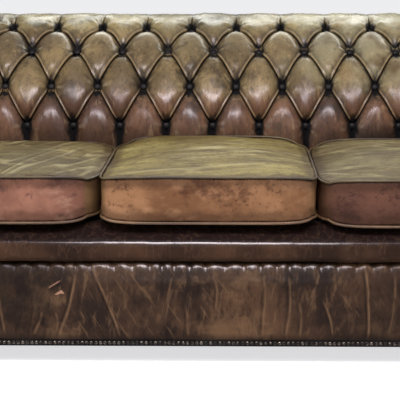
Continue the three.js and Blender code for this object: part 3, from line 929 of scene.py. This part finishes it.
def cushion_finish(name, shape):
    """Olive on top, redder and spotted round the sides, and dark along the seams, with painted shade in
    the crease valleys and, with grime, towards the back of the top.
    """
    finish, place = new_finish(name, {"Specular IOR Level": 0.14})
    light, dark = (dye(*shade) for shade in shape["top"])
    top = worn_hide(place, light, dark, dye(64, 52, 34))
    streaks = place.noise(24, 5, (0.22, 1, 1), 0.6).between(0.52, 0.70)
    top = (streaks * 0.5).mix(top, dye(192, 184, 128))
    smears = place.noise(20, 5, (0.25, 1, 1), 0.65).between(0.48, 0.36)
    top = (smears * 0.4).mix(top, dye(76, 66, 42))
    light, dark = (dye(*shade) for shade in shape["front"])
    side = worn_hide(place, light, dark, dye(50, 32, 26))
    pale = place.noise(15, 5, (1, 1, 1.8), 0.6).between(0.50, 0.68)
    side = (pale * 0.45).mix(side, dye(*shape["pale"]))
    bruises = place.noise(12, 6, (1, 1, 1.4), 0.7).between(0.51, 0.65)
    side = (bruises * 0.75).mix(side, dye(*shape["bruise"]))
    spots = place.noise(46, 6, roughness=0.7).between(0.56, 0.66)
    side = (spots * place.noise(6, 2).between(0.44, 0.56) * 0.85).mix(side, dye(*shape["bruise"]))
    side = (place.mark("end") * shape["olive_ends"]).mix(side, dye(130, 108, 70))
    fold, valley, seam = place.mark("fold"), place.mark("valley"), place.mark("seam")
    soiled = place.noise(17, 6, (0.6, 1, 1), 0.70).between(0.46, 0.61)
    top = (soiled * 0.60).mix(top, dye(86, 70, 40))
    # Darker towards the back of the top: grime, with painted shade where the top rolls down under the
    # back.
    back_grime_and_shade = (place.part(1) + (place.noise(20, 4) - 0.5) * 0.10).between(-0.02, 0.13)
    top = (back_grime_and_shade * 0.45).mix(top, dye(74, 60, 36))
    lines = crease_lines(place, 34, (1, 0.5, 1))
    top = ((1 - lines) * 0.30).mix(top, dye(70, 58, 36))
    # Painted shade in the valleys beside the creases.
    top = (valley * 0.55).mix(top, dye(66, 56, 34))
    top = (fold * 0.65).mix(top, dye(208, 200, 150))
    colour = place.mark("boxing").between(0.35, 0.65).mix(top, side)
    grime = (seam * (place.noise(40, 4) * 0.9 + 0.35)).between(0.28, 0.75)
    smudge = (place.mark("edge") + (place.noise(22, 5, roughness=0.65) - 0.5) * 1.1).between(0.20, 0.75)
    colour = (smudge * 0.55).mix(colour, dye(62, 42, 28))
    colour = (grime * 0.9).mix(colour, dye(28, 20, 15))
    rough = place.noise(24, 4) * 0.25 + 0.32 + grime * 0.2
    feed(finish, {"Base Color": colour, "Roughness": rough, "Normal": hide_grain(place, lines * 0.4)})
    return finish


piping_hide, place = new_finish("piping_hide", {"Coat Weight": 0.2, "Coat Roughness": 0.3})
lower = worn_hide(place, dye(136, 108, 74), dye(90, 68, 45), dye(38, 27, 20))
upper = worn_hide(place, dye(104, 92, 58), dye(60, 50, 32), dye(24, 20, 14))
rubbed = place.part(2).between(0.35, 0.37).mix(lower, upper)
feed(piping_hide, {"Base Color": rubbed, "Roughness": place.noise(60, 3) * 0.3 + 0.3})

for number, (side_name, shape) in enumerate(cushion_shapes.items()):
    middle = (number - 1) * cushion_spacing
    cushion, cord = seat_cushion(f"cushion_{side_name}", middle, shape, 31 + 7 * number)
    cushion.data.materials.append(cushion_finish(f"cushion_hide_{side_name}", shape))
    cord.data.materials.append(piping_hide)
    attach(cushion, "root")
    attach(cord, "root")
    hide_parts(f"cushion_cover_{side_name}", f"cushion_core_{side_name}")

# ---- Seat lip ----
# A hide roll stuffed with hair along the front of the deck, below the cushions. It is stitched to
# the deck behind and to the border underneath, and its flat face ends in a rubbed front edge.

lip_half_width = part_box("seat_lip")[1][0]
lip_face = (
    (-0.3990, 0.3265),
    (-0.4100, 0.3235),
    (-0.4330, 0.3090),
    (-0.4490, 0.2990),
    (-0.4590, 0.2920),
    (-0.4632, 0.2830),
    (-0.4638, 0.2650),
    (-0.4615, 0.2530),
    (-0.4520, 0.2445),
)
lip_lining = ((-0.4310, 0.2448), (-0.4240, 0.2520), (-0.3990, 0.2530))


def soft_line(points, spacing, rounding):
    """The line through some points, at an even spacing and with its corners rounded off."""
    points = np.array(points)
    length = np.concatenate([[0], np.cumsum(np.linalg.norm(np.diff(points, axis=0), axis=1))])
    even = np.linspace(0, length[-1], round(length[-1] / spacing) + 1)
    line = np.stack([np.interp(even, length, points[:, axis]) for axis in range(2)], axis=1)
    for _ in range(rounding):
        line[1:-1] = (line[:-2] + line[1:-1] * 2 + line[2:]) / 4
    return line


def stuffed_strip(name, face, lining, half_width, step, relief):
    """A closed strip across the front, with the section of its face and of its hidden lining.
    relief(x, y, z) gives how far the face stands out, and the marks on it."""
    columns = round(2 * half_width / step)
    section = np.concatenate([face, lining, face[:1]])
    rows = len(section) - 1
    bare_selection()
    bpy.ops.mesh.primitive_grid_add(x_subdivisions=columns, y_subdivisions=rows, size=1)
    strip = bpy.context.object
    strip.name = name
    place = read_points(strip)
    j = np.rint((place[:, 1] + 0.5) * rows).astype(int)
    x = place[:, 0] * 2 * half_width
    y, z = section[j].T
    outward = np.gradient(face, axis=0)[:, ::-1] * (1, -1)
    outward /= np.linalg.norm(outward, axis=1, keepdims=True)
    on_face = j < len(face)
    turn = outward[np.where(on_face, j, 0)]
    out, marks = relief(x, y, z)
    ends = ((half_width - np.abs(x)) / 0.010).clip(0, 1)
    out = np.where(on_face, out - 0.004 * (1 - ends) ** 2, 0)
    move_points(strip, np.stack([x, y + turn[:, 0] * out, z + turn[:, 1] * out], axis=1))
    marks_on(strip, {mark: values * on_face for mark, values in marks.items()})
    close_up()
    smooth(60)
    return strip


def lip_relief(x, y, z):
    """Slack waves along the roll and short puckers above its lower seam."""
    slack = 0.0012 * drift(x, z, 0.11, 0.08, 51) + 0.0005 * drift(x, z, 0.03, 0.05, 52)
    pucker = 0.0006 * drift(x, z, 0.009, 0.1, 53) * (peak(z - 0.2445, 0.012) + 0.3)
    return slack + pucker, {}


lip_section = soft_line(lip_face, 0.0025, 4)
lip = stuffed_strip("lip_leather", lip_section, lip_lining, lip_half_width, 0.004, lip_relief)
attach(lip, "root")
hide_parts("seat_lip")


def lip_finish():
    """Polished dark hide. Its top, under the cushions, is painted near black as their shadow, so the face
    looks lighter.
    """
    polish = {"Coat Roughness": 0.16, "Coat IOR": 1.7, "Specular IOR Level": 0.1}
    finish, place = new_finish("lip_hide", polish)
    colour = worn_hide(place, dye(80, 58, 42), dye(48, 34, 25), dye(28, 20, 15))
    # Painted shadow: the top of the roll, under the cushions, is darkened near black.
    under = place.part(2).between(0.286, 0.294)
    colour = under.mix(colour, dye(34, 23, 21))
    streaks = crease_lines(place, 40, (1, 1, 0.3))
    colour = ((1 - streaks) * 0.25).mix(colour, dye(104, 80, 60))
    rough = place.noise(30, 4) * 0.2 + 0.26
    edge = place.part(2).between(0.278, 0.284) * place.part(2).between(0.302, 0.295)
    seated = place.part(0).between(-0.42, -0.16) * place.part(0).between(0.40, 0.08)
    shine = edge * (place.noise(9, 4).between(0.2, 0.45) * 0.4 + 0.6) * (seated * 0.92 + 0.08)
    relief = hide_grain(place, streaks * 0.3)
    feed(finish, {"Base Color": colour, "Roughness": rough, "Coat Weight": shine, "Normal": relief})
    return finish


lip.data.materials.append(lip_finish())

# ---- Front border ----
# A wide strip of hide over felt on the front rail, gathered into the seam under the lip and
# nailed along its lower edge. It is creased from top to bottom, stained, and torn in one place.

border_low, border_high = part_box("front_border")
border_top, border_face = border_high[2], border_low[1]
border_face_line = (
    (border_face + 0.0300, border_top - 0.0012),
    (border_face + 0.0170, border_top - 0.0040),
    (border_face + 0.0090, border_top - 0.0120),
    (border_face + 0.0036, border_top - 0.0230),
    (border_face + 0.0008, border_top - 0.0360),
    (border_face, border_top - 0.0500),
    (border_face, border_low[2]),
)
border_lining = ((border_high[1], border_low[2]), (border_high[1], border_top - 0.0012))
# Each long crease runs from (x, z) to (x, z), and stands out by a height.
long_creases = (
    (-0.300, 0.222, -0.346, 0.066, 0.0022),
    (-0.266, 0.232, -0.206, 0.074, 0.0028),
    (-0.384, 0.128, -0.404, 0.070, 0.0016),
    (-0.352, 0.125, -0.350, 0.080, 0.0012),
    (-0.242, 0.176, -0.222, 0.118, 0.0014),
    (-0.054, 0.146, -0.046, 0.070, 0.0012),
    (0.014, 0.206, 0.018, 0.132, 0.0012),
    (0.128, 0.212, 0.122, 0.064, 0.0014),
    (0.186, 0.208, 0.178, 0.066, 0.0016),
    (0.207, 0.150, 0.210, 0.068, 0.0012),
    (0.262, 0.154, 0.287, 0.072, 0.0018),
    (0.359, 0.236, 0.368, 0.066, 0.0024),
    (0.428, 0.212, 0.416, 0.080, 0.0012),
    (-0.498, 0.220, -0.470, 0.080, 0.0014),
    (-0.590, 0.236, -0.606, 0.070, 0.0022),
    (-0.672, 0.180, -0.650, 0.066, 0.0016),
    (0.520, 0.230, 0.506, 0.072, 0.0016),
    (0.604, 0.222, 0.630, 0.070, 0.0022),
    (0.694, 0.200, 0.684, 0.068, 0.0014),
)
tear_place = (-0.352, 0.186)
bare_corners = [(-0.002, -0.019), (0.022, -0.016), (0.015, -0.008)]  # x and z from tear_place


def along_crease(x, z, crease):
    """How far each point is to the side of a crease, and how strongly the crease shows there."""
    start, end = np.array(crease[:2]), np.array(crease[2:4])
    run = end - start
    length = np.linalg.norm(run)
    forward = ((x - start[0]) * run[0] + (z - start[1]) * run[1]) / length**2
    bow = 0.004 * np.sin(math.pi * forward.clip(0, 1)) + 0.002 * drift(x, z, 0.03, 0.03, 60)
    aside = ((x - start[0]) * run[1] - (z - start[1]) * run[0]) / length + bow
    return aside, ((forward + 0.05) / 0.15).clip(0, 1) * ((1.05 - forward) / 0.15).clip(0, 1)


def inside_triangle(x, z, corners):
    """How far inside the nearest side of a triangle each point is. The corners run anticlockwise."""
    depth = np.full(len(x), np.inf)
    for (x0, z0), (x1, z1) in zip(corners, corners[1:] + corners[:1]):
        beside = (x1 - x0) * (z - z0) - (z1 - z0) * (x - x0)
        depth = np.minimum(depth, beside / math.hypot(x1 - x0, z1 - z0))
    return depth


def border_relief(x, y, z):
    """Gathers along the top seam, fine upright wrinkles, the long creases and the tear."""
    drop = border_top - z
    step = x / 0.038 + 0.55 * drift(x, z, 0.07, 0.4, 61)
    bumps = np.abs(np.sin(math.pi * (step + drop * drift(x, z, 0.2, 0.4, 62) * 8)))
    gathers = (0.0056 * bumps - 0.0030) * peak(drop, 0.030)
    lean = drift(x, z, 0.30, 0.9, 63) * 0.5
    fine = drift(x + drop * lean, z, 0.010, 0.12, 64) + 0.6 * drift(x + drop * lean, z, 0.004, 0.06, 65)
    out = gathers + 0.00045 * fine + 0.0022 * drift(x, z, 0.14, 0.12, 66)
    # dark marks where the finish paints shade: beside each crease and in the hollow under the tear's
    # flap.
    pale, dark = np.zeros(len(x)), np.zeros(len(x))
    for crease in long_creases:
        aside, shown = along_crease(x, z, crease)
        shown = shown * (0.75 + 0.5 * drift(x, z, 0.05, 0.012, 67)).clip(0, 1)
        height = crease[4]
        ridge, ditch = peak(aside, 0.0023), peak(aside - 0.0056, 0.0032)
        out = out + shown * height * (ridge - 0.9 * ditch)
        pale = np.maximum(pale, shown * ridge * height / 0.0020)
        dark = np.maximum(dark, shown * ditch * height / 0.0022)
    across, up = x - tear_place[0], z - tear_place[1]
    lifted = up - 0.62 * across - 0.006
    flap = peak(lifted, 0.0020) * np.exp(-(((across + 0.001) / 0.015) ** 6))
    hollow = peak(lifted + 0.007, 0.0045) * np.exp(-(((across - 0.002) / 0.014) ** 4))
    raw = (inside_triangle(across, up, bare_corners) / 0.0014 + 0.6).clip(0, 1)
    out = out + 0.0024 * flap - 0.0022 * hollow
    dark = np.maximum(dark, hollow * (1 - raw))
    return out, {"pale": pale.clip(0, 1), "dark": dark.clip(0, 1), "bare": np.maximum(flap, raw)}


border_step = 0.0028  # size of the squares of its mesh
border_section = soft_line(border_face_line, border_step, 2)
border = stuffed_strip(
    "border_leather", border_section, border_lining, border_high[0], border_step, border_relief
)
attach(border, "root")
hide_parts("front_border")


def scuffed_hide(place, light, dark, patch):
    """Dark hide with paler rubbed patches, black stains and fine upright wrinkles."""
    colour = worn_hide(place, dye(*light), dye(*dark), dye(20, 14, 12))
    rubbed = place.noise(6.5, 6, (1, 1, 1.4), 0.62).between(0.50, 0.66)
    colour = (rubbed * 0.75).mix(colour, dye(*patch))
    stains = place.noise(9, 6, roughness=0.65).between(0.55, 0.68)
    colour = (stains * 0.8).mix(colour, dye(26, 20, 17))
    streaks = place.noise(60, 5, (1, 1, 0.32), 0.65)
    colour = (streaks.between(0.54, 0.68) * 0.4).mix(colour, dye(*patch))
    colour = (streaks.between(0.47, 0.34) * 0.5).mix(colour, dye(24, 17, 14))
    for angle, shade in ((0.55, (136, 108, 78)), (-0.45, (20, 15, 12)), (-0.20, (140, 112, 82))):
        scratches = place.leaning(angle).noise(105, 4, (1, 1, 0.10), 0.6).between(0.60, 0.70)
        colour = (scratches * 0.30).mix(colour, dye(*shade))
    return colour, streaks


def border_finish():
    """Scuffed hide, pale along each crease, with painted shade beside it and in the hollow under the
    tear's flap, and bare where it is torn.
    """
    polish = {"Coat Roughness": 0.2, "Coat IOR": 1.8, "Specular IOR Level": 0.15}
    finish, place = new_finish("border_hide", polish)
    colour, streaks = scuffed_hide(place, (86, 64, 46), (42, 31, 24), (120, 94, 67))
    soot = place.part(0).between(-0.30, -0.44) + place.part(0).between(0.22, 0.40) * 0.7
    colour = (soot * place.noise(7, 4).between(0.36, 0.56) * 0.75).mix(colour, dye(22, 16, 13))
    # Painted shade in the ditches beside the creases and under the tear's flap.
    colour = (place.mark("dark") * 0.75).mix(colour, dye(24, 17, 14))
    colour = (place.mark("pale") * 0.65).mix(colour, dye(146, 116, 84))
    colour = place.mark("bare").between(0.3, 0.7).mix(colour, dye(176, 138, 112))
    high, low = place.part(2).between(0.236, 0.243), place.part(2).between(0.078, 0.062)
    colour = (high * 0.9).mix(colour, dye(18, 13, 12))
    colour = (low * 0.6).mix(colour, dye(30, 23, 18))
    rough = place.noise(26, 5) * 0.3 + 0.26
    seated = place.part(0).between(-0.42, -0.10) * place.part(0).between(0.50, 0.10)
    shine = place.part(2).between(0.190, 0.225) * (seated * 0.55 + 0.1)
    relief = hide_grain(place, streaks * 1.2)
    feed(finish, {"Base Color": colour, "Roughness": rough, "Coat Weight": shine, "Normal": relief})
    return finish


border.data.materials.append(border_finish())

# ---- Arm facings ----
# The flat fronts of the arms: hide over a padded board cut to the scroll, with a piped edge and a
# close row of nails inside it, and a long face below that ends at the base.

facing_low, facing_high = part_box("arm_facing_right")
facing_back, facing_front = facing_high[1], facing_low[1]
side_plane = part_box("outside_arm_right")[1][0]
roll_underside = 0.628
welt_radius = 0.0034


def facing_outline():
    """x and z round the right facing: up from its lower inner corner, over the scroll and down."""
    wide = arm_row + np.where(outer_h > 0, arm_narrowing * outer_h, outer_h)
    scroll = np.stack([wide, outer_z], axis=1)[outer_z > shoulder_height - 0.001]
    scroll[0, 0] = facing_low[0]
    foot = [(facing_low[0], facing_low[2])]
    side = [(side_plane + 0.003, roll_underside), (side_plane, roll_underside - 0.008)]
    return np.concatenate([foot, scroll[::3], side, [(side_plane, facing_low[2])]])


def upright_ring(side, y):
    """The outline of the left (-1) or right (1) facing, at a distance y from the middle."""
    return np.column_stack([side * outline[:, 0], np.full(len(outline), y), outline[:, 1]])


def move_face(out, inset):
    """Draws the selected face in, and stands it out from the facing."""
    bpy.ops.mesh.inset(thickness=inset, depth=0, use_even_offset=True)
    bpy.ops.transform.translate(value=(0, -out, 0))


def dark_finish(name, light, dark, patch):
    """Dark hide with rubbed patches, stains and wrinkles, and a fairly even polish."""
    finish, place = new_finish(name, {"Coat Roughness": 0.2, "Specular IOR Level": 0.4})
    colour = worn_hide(place, dye(*light), dye(*dark), dye(24, 18, 14))
    rubbed = place.noise(7, 6, roughness=0.62).between(0.50, 0.68)
    colour = (rubbed * 0.6).mix(colour, dye(*patch))
    lines = crease_lines(place, 26, (1, 1, 0.7))
    colour = ((1 - lines) * 0.4).mix(colour, dye(*dark))
    rough = place.noise(26, 5) * 0.3 + 0.30
    shine = place.noise(14, 4).between(0.35, 0.6) * 0.3
    relief = hide_grain(place, lines * 0.8)
    feed(finish, {"Base Color": colour, "Roughness": rough, "Coat Weight": shine, "Normal": relief})
    return finish


facing_hide = dark_finish("facing_hide", (96, 72, 54), (56, 41, 32), (120, 96, 68))
dark_piping_hide = dark_finish("dark_piping_hide", (110, 84, 62), (66, 48, 38), (140, 112, 80))
outline = facing_outline()
for side, side_name in ((-1, "left"), (1, "right")):
    bare_selection()
    bpy.ops.mesh.primitive_circle_add(vertices=len(outline), radius=1, fill_type="NGON")
    facing = bpy.context.object
    facing.name = f"facing_{side_name}_leather"
    move_points(facing, upright_ring(side, facing_back))
    edit_all()
    depth = facing_front + 0.003 - facing_back
    bpy.ops.mesh.extrude_region_move(TRANSFORM_OT_translate={"value": (0, depth, 0)})
    move_face(0.0024, 0.0030)
    move_face(-0.0020, 0.0030)
    move_face(0.0, 0.0120)
    move_face(0.0022, 0.0020)
    move_face(0.0014, 0.0040)
    bpy.ops.mesh.select_all(action="SELECT")
    bpy.ops.mesh.normals_make_consistent(inside=False)
    stop_editing()
    modify(facing, "BEVEL", width=0.0008, segments=2, angle_limit=math.radians(25))
    smooth(40)
    edge = upright_ring(side, facing_front + 0.001)
    welt = piping(f"facing_{side_name}_piping", [(edge, welt_radius)])
    facing.data.materials.append(facing_hide)
    welt.data.materials.append(dark_piping_hide)
    for piece in (facing, welt):
        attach(piece, "root")
    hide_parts(f"arm_facing_{side_name}")

# ---- Outside arms and back ----
# Plain hides drawn flat over the frame: blind-tacked under the roll, sewn down the corners and
# nailed along the bottom. Handling has slackened and scuffed them.


panel_square = 0.011  # size of the squares of a panel's mesh
panel_thickness = 0.0035


def slack_panel(name, across, up, place, seed):
    """A stretched hide between two distances across and two heights. place(u, out) gives x and y."""
    columns = round((across[1] - across[0]) / panel_square)
    rows = round((up[1] - up[0]) / panel_square)
    bare_selection()
    bpy.ops.mesh.primitive_grid_add(x_subdivisions=columns, y_subdivisions=rows, size=1)
    panel = bpy.context.object
    panel.name = name
    u, v = (read_points(panel)[:, :2] + 0.5).T
    u, z = across[0] + u * (across[1] - across[0]), up[0] + v * (up[1] - up[0])
    edge = np.minimum(np.minimum(u - across[0], across[1] - u), up[1] - z)
    rounded = -0.0045 * (1 - (edge / 0.014).clip(0, 1)) ** 2
    slack = 0.0030 * drift(u, z, 0.22, 0.18, seed) * (edge / 0.1).clip(0, 1)
    puckers = 0.0009 * drift(u, z, 0.018, 0.2, seed + 1) * np.exp(-(up[1] - z) / 0.05)
    fold_line = z - 0.30 * u - 0.1 * drift(u, z, 0.5, 0.5, seed + 2)
    folds = 0.0007 * np.sin(fold_line * 75) * drift(u, z, 0.17, 0.17, seed + 3).clip(0, 1)
    x, y = place(u, rounded + slack + puckers + folds)
    move_points(panel, np.stack([x, y, z], axis=1))
    return panel


def finish_panel(panel, node, faces_out):
    if not faces_out:
        edit_all()
        bpy.ops.mesh.flip_normals()
        stop_editing()
    modify(panel, "SOLIDIFY", thickness=panel_thickness, offset=-1)
    smooth(40)
    panel.data.materials.append(panel_hide)
    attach(panel, "root")
    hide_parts(node)


panel_hide = dark_finish("panel_hide", (86, 66, 50), (54, 40, 31), (104, 84, 60))
panel_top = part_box("outside_arm_right")[1][2]
arm_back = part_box("outside_arm_right")[1][1]
back_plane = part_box("outside_back")[1][1]
for side, side_name in ((-1, "left"), (1, "right")):
    panel = slack_panel(
        f"outside_arm_{side_name}_leather",
        (facing_back, arm_back),
        (border_low[2], panel_top),
        lambda u, out: (side * (side_plane + out), u),
        71 + side,
    )
    finish_panel(panel, f"outside_arm_{side_name}", side > 0)
panel = slack_panel(
    "outside_back_leather",
    (-side_plane, side_plane),
    (border_low[2], panel_top),
    lambda u, out: (u, back_plane + out),
    81,
)
finish_panel(panel, "outside_back", False)

# ---- Nails and banding ----
# Aged brass nails with domed heads, driven nearly edge to edge through a dark banding round the
# base and through the facings. Their heads are tarnished in patches.

nail_pitch = 0.0106
nail_radius = 0.0047
nail_dome = 0.62  # height of a nail's head against its radius
bare_selection()
bpy.ops.mesh.primitive_uv_sphere_add(segments=10, ring_count=6, radius=nail_radius)
nail = bpy.context.object
edit_all()
bpy.ops.mesh.bisect(plane_co=(0, 0, 0), plane_no=(0, 0, 1), clear_inner=True, use_fill=True)
bpy.ops.mesh.select_all(action="SELECT")
bpy.ops.transform.resize(value=(1, 1, nail_dome))
stop_editing()
smooth(60)

nail_brass, place = new_finish("nail_brass", {"Specular IOR Level": 0.5})
tarnish = place.noise(90, 4).between(0.37, 0.56)
worn_brass = tarnish.mix(dye(126, 120, 108), dye(40, 36, 33))
rough = tarnish * 0.2 + 0.20
feed(nail_brass, {"Base Color": worn_brass, "Metallic": 1 - tarnish * 0.4, "Roughness": rough})
band_hide = dark_finish("band_hide", (20, 17, 15), (10, 9, 9), (28, 23, 20))
band_hide.node_tree.nodes["Principled BSDF"].inputs["Specular IOR Level"].default_value = 0.1


def drive_nails(name, places):
    """Joins a nail for each (point, direction that it faces)."""
    copies = []
    chance = np.random.default_rng(len(places))
    for point, facing_to in places:
        copy = nail.copy()
        copy.data = nail.data.copy()
        bpy.context.collection.objects.link(copy)
        tilt = Vector(chance.uniform(-0.10, 0.10, 3))
        copy.rotation_euler = (Vector(facing_to) + tilt).to_track_quat("Z", "Y").to_euler()
        copy.location = point
        copies.append(copy)
    joined = join_copies(name, copies)
    joined.data.materials.append(nail_brass)
    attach(joined, "root")


def spaced(low, high):
    """Even places a nail's pitch apart between two ends."""
    count = round((high - low) / nail_pitch)
    return low + (np.arange(count) + 0.5) * (high - low) / count


band_low, band_high = (np.array(corner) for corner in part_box("nail_banding"))
band_low[2] -= 0.0045  # the banding is folded under the edge of the hide
band_middle, band_half = (band_low + band_high) / 2, (band_high - band_low) / 2
bare_selection()
bpy.ops.mesh.primitive_cube_add(size=2)
band = bpy.context.object
band.name = "base_banding"
move_points(band, band_middle + read_points(band) * band_half)
bpy.ops.object.mode_set(mode="EDIT")
bpy.ops.mesh.select_mode(type="FACE")
bpy.ops.mesh.select_all(action="DESELECT")
stop_editing()
for face in band.data.polygons:
    face.select = abs(face.normal.z) > 0.9
bpy.ops.object.mode_set(mode="EDIT")
bpy.ops.mesh.delete(type="FACE")
stop_editing()
modify(band, "SOLIDIFY", thickness=0.002, offset=-1)
modify(band, "BEVEL", width=0.0008, segments=2)
smooth(40)
band.data.materials.append(band_hide)
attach(band, "root")
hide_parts("nail_banding")
base_places = []
for x in spaced(band_low[0], band_high[0]):
    base_places.append(((x, band_low[1], band_middle[2]), (0, -1, 0)))
    base_places.append(((x, band_high[1], band_middle[2]), (0, 1, 0)))
for y in spaced(band_low[1], band_high[1]):
    base_places.append(((band_low[0], y, band_middle[2]), (-1, 0, 0)))
    base_places.append(((band_high[0], y, band_middle[2]), (1, 0, 0)))
drive_nails("base_nails", base_places)

inset = 0.0125  # from the edge of the facing to its nails
for side, side_name in ((-1, "left"), (1, "right")):
    line = soft_line(outline, nail_pitch, 0)
    ahead = np.gradient(line, axis=0)
    ahead /= np.linalg.norm(ahead, axis=1, keepdims=True)
    placed = (line + inset * np.stack([ahead[:, 1], -ahead[:, 0]], axis=1))[1:-1]
    placed = placed[placed[:, 1] > band_high[2] + 0.006]
    places = [((side * x, facing_front + 0.0024, z), (0, -1, 0)) for x, z in placed]
    drive_nails(f"facing_nails_{side_name}", places)
bpy.data.objects.remove(nail)

# ---- Seat deck ----
# Dark platform cloth over felt on the hessian and springs. The cushions lie on it.

deck_cloth, place = new_finish("deck_cloth", {})
threads = place.waves("X", 90, 1.5)
picks = place.waves("Y", 90, 1.5)
cloth = threads * 0.5 + picks * 0.5
dusty = place.noise(6, 5).between(0.40, 0.70)
drab = dusty.mix(cloth.mix(dye(30, 25, 21), dye(58, 48, 40)), dye(84, 74, 62))
nap = place.relief(0.6, 0.0006, cloth)
feed(deck_cloth, {"Base Color": drab, "Roughness": dusty * 0.1 + 0.82, "Normal": nap})

deck_low, deck_high = (np.array(corner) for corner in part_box("seat_deck_pad"))
bare_selection()
bpy.ops.mesh.primitive_cube_add(size=2)
deck = bpy.context.object
deck.name = "seat_deck_cloth"
bpy.ops.object.mode_set(mode="EDIT")
cut_along(0, 90)
cut_along(1, 30)
cut_along(2, 3)
stop_editing()
u, v, w = read_points(deck).T
sag = 0.003 * drift(u, v, 0.2, 0.3, 91) * (1 - u**8) * (1 - v**8)
filled = (deck_low + deck_high) / 2 + np.stack([u, v, w], axis=1) * (deck_high - deck_low) / 2
filled[:, 2] -= np.where(w > 0, 0.0035 - sag, 0)
move_points(deck, filled)
smooth(50)
deck.data.materials.append(deck_cloth)
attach(deck, "root")
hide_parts("seat_deck_pad")

# ---- Bun feet ----
# Four turned beech buns, stained nearly black and polished, each screwed up on a steel stud.

polished_beech, place = new_finish("polished_beech", {"Coat Weight": 0.5, "Coat Roughness": 0.18})
rings = place.noise(30, 5, (1, 1, 0.35), 0.6).between(0.35, 0.65)
stained = rings.mix(dye(40, 24, 17), dye(72, 44, 30))
knocks = place.noise(70, 5, roughness=0.7).between(0.60, 0.68)
stained = (knocks * 0.7).mix(stained, dye(120, 84, 56))
pores = place.relief(0.3, 0.0005, rings + knocks * -0.8)
feed(polished_beech, {"Base Color": stained, "Roughness": knocks * 0.3 + 0.3, "Normal": pores})

foot_profile = (
    (0.000, 0.0260),
    (0.004, 0.0340),
    (0.010, 0.0408),
    (0.018, 0.0438),
    (0.026, 0.0436),
    (0.033, 0.0400),
    (0.038, 0.0340),
    (0.041, 0.0305),
    (0.0425, 0.0335),
    (0.045, 0.0350),
    (0.050, 0.0348),
)  # height and radius
for place_name in ("front_left", "front_right", "back_left", "back_right"):
    low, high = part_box(f"bun_foot_{place_name}")
    middle = (low + high) / 2
    bare_selection()
    bpy.ops.mesh.primitive_cylinder_add(vertices=40, radius=1, depth=2, end_fill_type="TRIFAN")
    foot = bpy.context.object
    foot.name = f"turned_foot_{place_name}"
    bpy.ops.object.mode_set(mode="EDIT")
    cut_along(2, 30)
    stop_editing()
    u, v, w = read_points(foot).T
    height = (w + 1) / 2 * (high[2] - low[2])
    heights, radii = np.array(foot_profile).T
    radius = np.interp(height, heights, radii)
    turned = np.stack([middle[0] + u * radius, middle[1] + v * radius, low[2] + height], axis=1)
    move_points(foot, turned)
    smooth(50)
    foot.data.materials.append(polished_beech)
    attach(foot, "root")
    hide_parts(f"bun_foot_{place_name}")

# ---- Frame, springs and cloths ----
# What the covers hide: beech rails and blocks, zig-zag springs and studs of steel wire, hessian
# over the springs and in the back, and a black dust cloth below.


def finish_nodes(slot, finish):
    """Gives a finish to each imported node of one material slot."""
    for subpart in frame["record"]["subparts"]:
        if subpart["material_slot"] == slot:
            packed = frame["nodes"][subpart["node"]]
            packed.data.materials.clear()
            packed.data.materials.append(finish)


def sawn_beech():
    """Pale unfinished beech, with long grain and the short flecks of its rays."""
    finish, place = new_finish("sawn_beech", {})
    grain = place.noise(24, 5, (0.12, 1, 1.6), 0.6)
    colour = grain.between(0.34, 0.66).mix(dye(170, 132, 92), dye(206, 170, 126))
    flecks = place.noise(260, 2, (0.10, 1, 1)).between(0.60, 0.70)
    colour = (flecks * 0.5).mix(colour, dye(128, 92, 60))
    dust = place.noise(5, 4).between(0.45, 0.65)
    colour = (dust * 0.35).mix(colour, dye(120, 104, 84))
    relief = place.relief(0.5, 0.0008, grain + flecks * 0.4)
    feed(finish, {"Base Color": colour, "Roughness": grain * 0.2 + 0.6, "Normal": relief})
    return finish


def drawn_steel():
    """Grey spring wire with a little rust."""
    finish, place = new_finish("drawn_steel", {"Specular IOR Level": 0.5})
    rust = place.noise(60, 5, roughness=0.65).between(0.56, 0.68)
    colour = rust.mix(dye(150, 150, 148), dye(104, 62, 38))
    pitting = rust + place.noise(500, 2)
    relief = place.relief(0.4, 0.0004, pitting)
    bright, rough = (1 - rust) * 0.9, rust * 0.4 + 0.34
    feed(finish, {"Base Color": colour, "Metallic": bright, "Roughness": rough, "Normal": relief})
    return finish


def woven(name, thread, gap, count):
    """A plain weave of a number of threads to the metre, with slubs and soiling."""
    finish, place = new_finish(name, {})
    warp, weft, rise = (place.waves(axis, count / 20, 1.2) for axis in "XYZ")
    weave = warp.math("MAXIMUM", warp, weft) * 0.6 + rise * 0.4
    soiled = place.noise(7, 4).between(0.40, 0.68)
    colour = weave.between(0.25, 0.75).mix(dye(*gap), dye(*thread))
    colour = (soiled * 0.4).mix(colour, dye(*gap))
    relief = place.relief(0.7, 0.0008, weave)
    feed(finish, {"Base Color": colour, "Roughness": soiled * 0.1 + 0.8, "Normal": relief})
    return finish


finish_nodes("beech", sawn_beech())
finish_nodes("spring_steel", drawn_steel())
finish_nodes("hessian", woven("hessian", (168, 138, 92), (96, 72, 44), 900))
finish_nodes("cambric", woven("cambric", (30, 30, 32), (14, 14, 15), 2200))
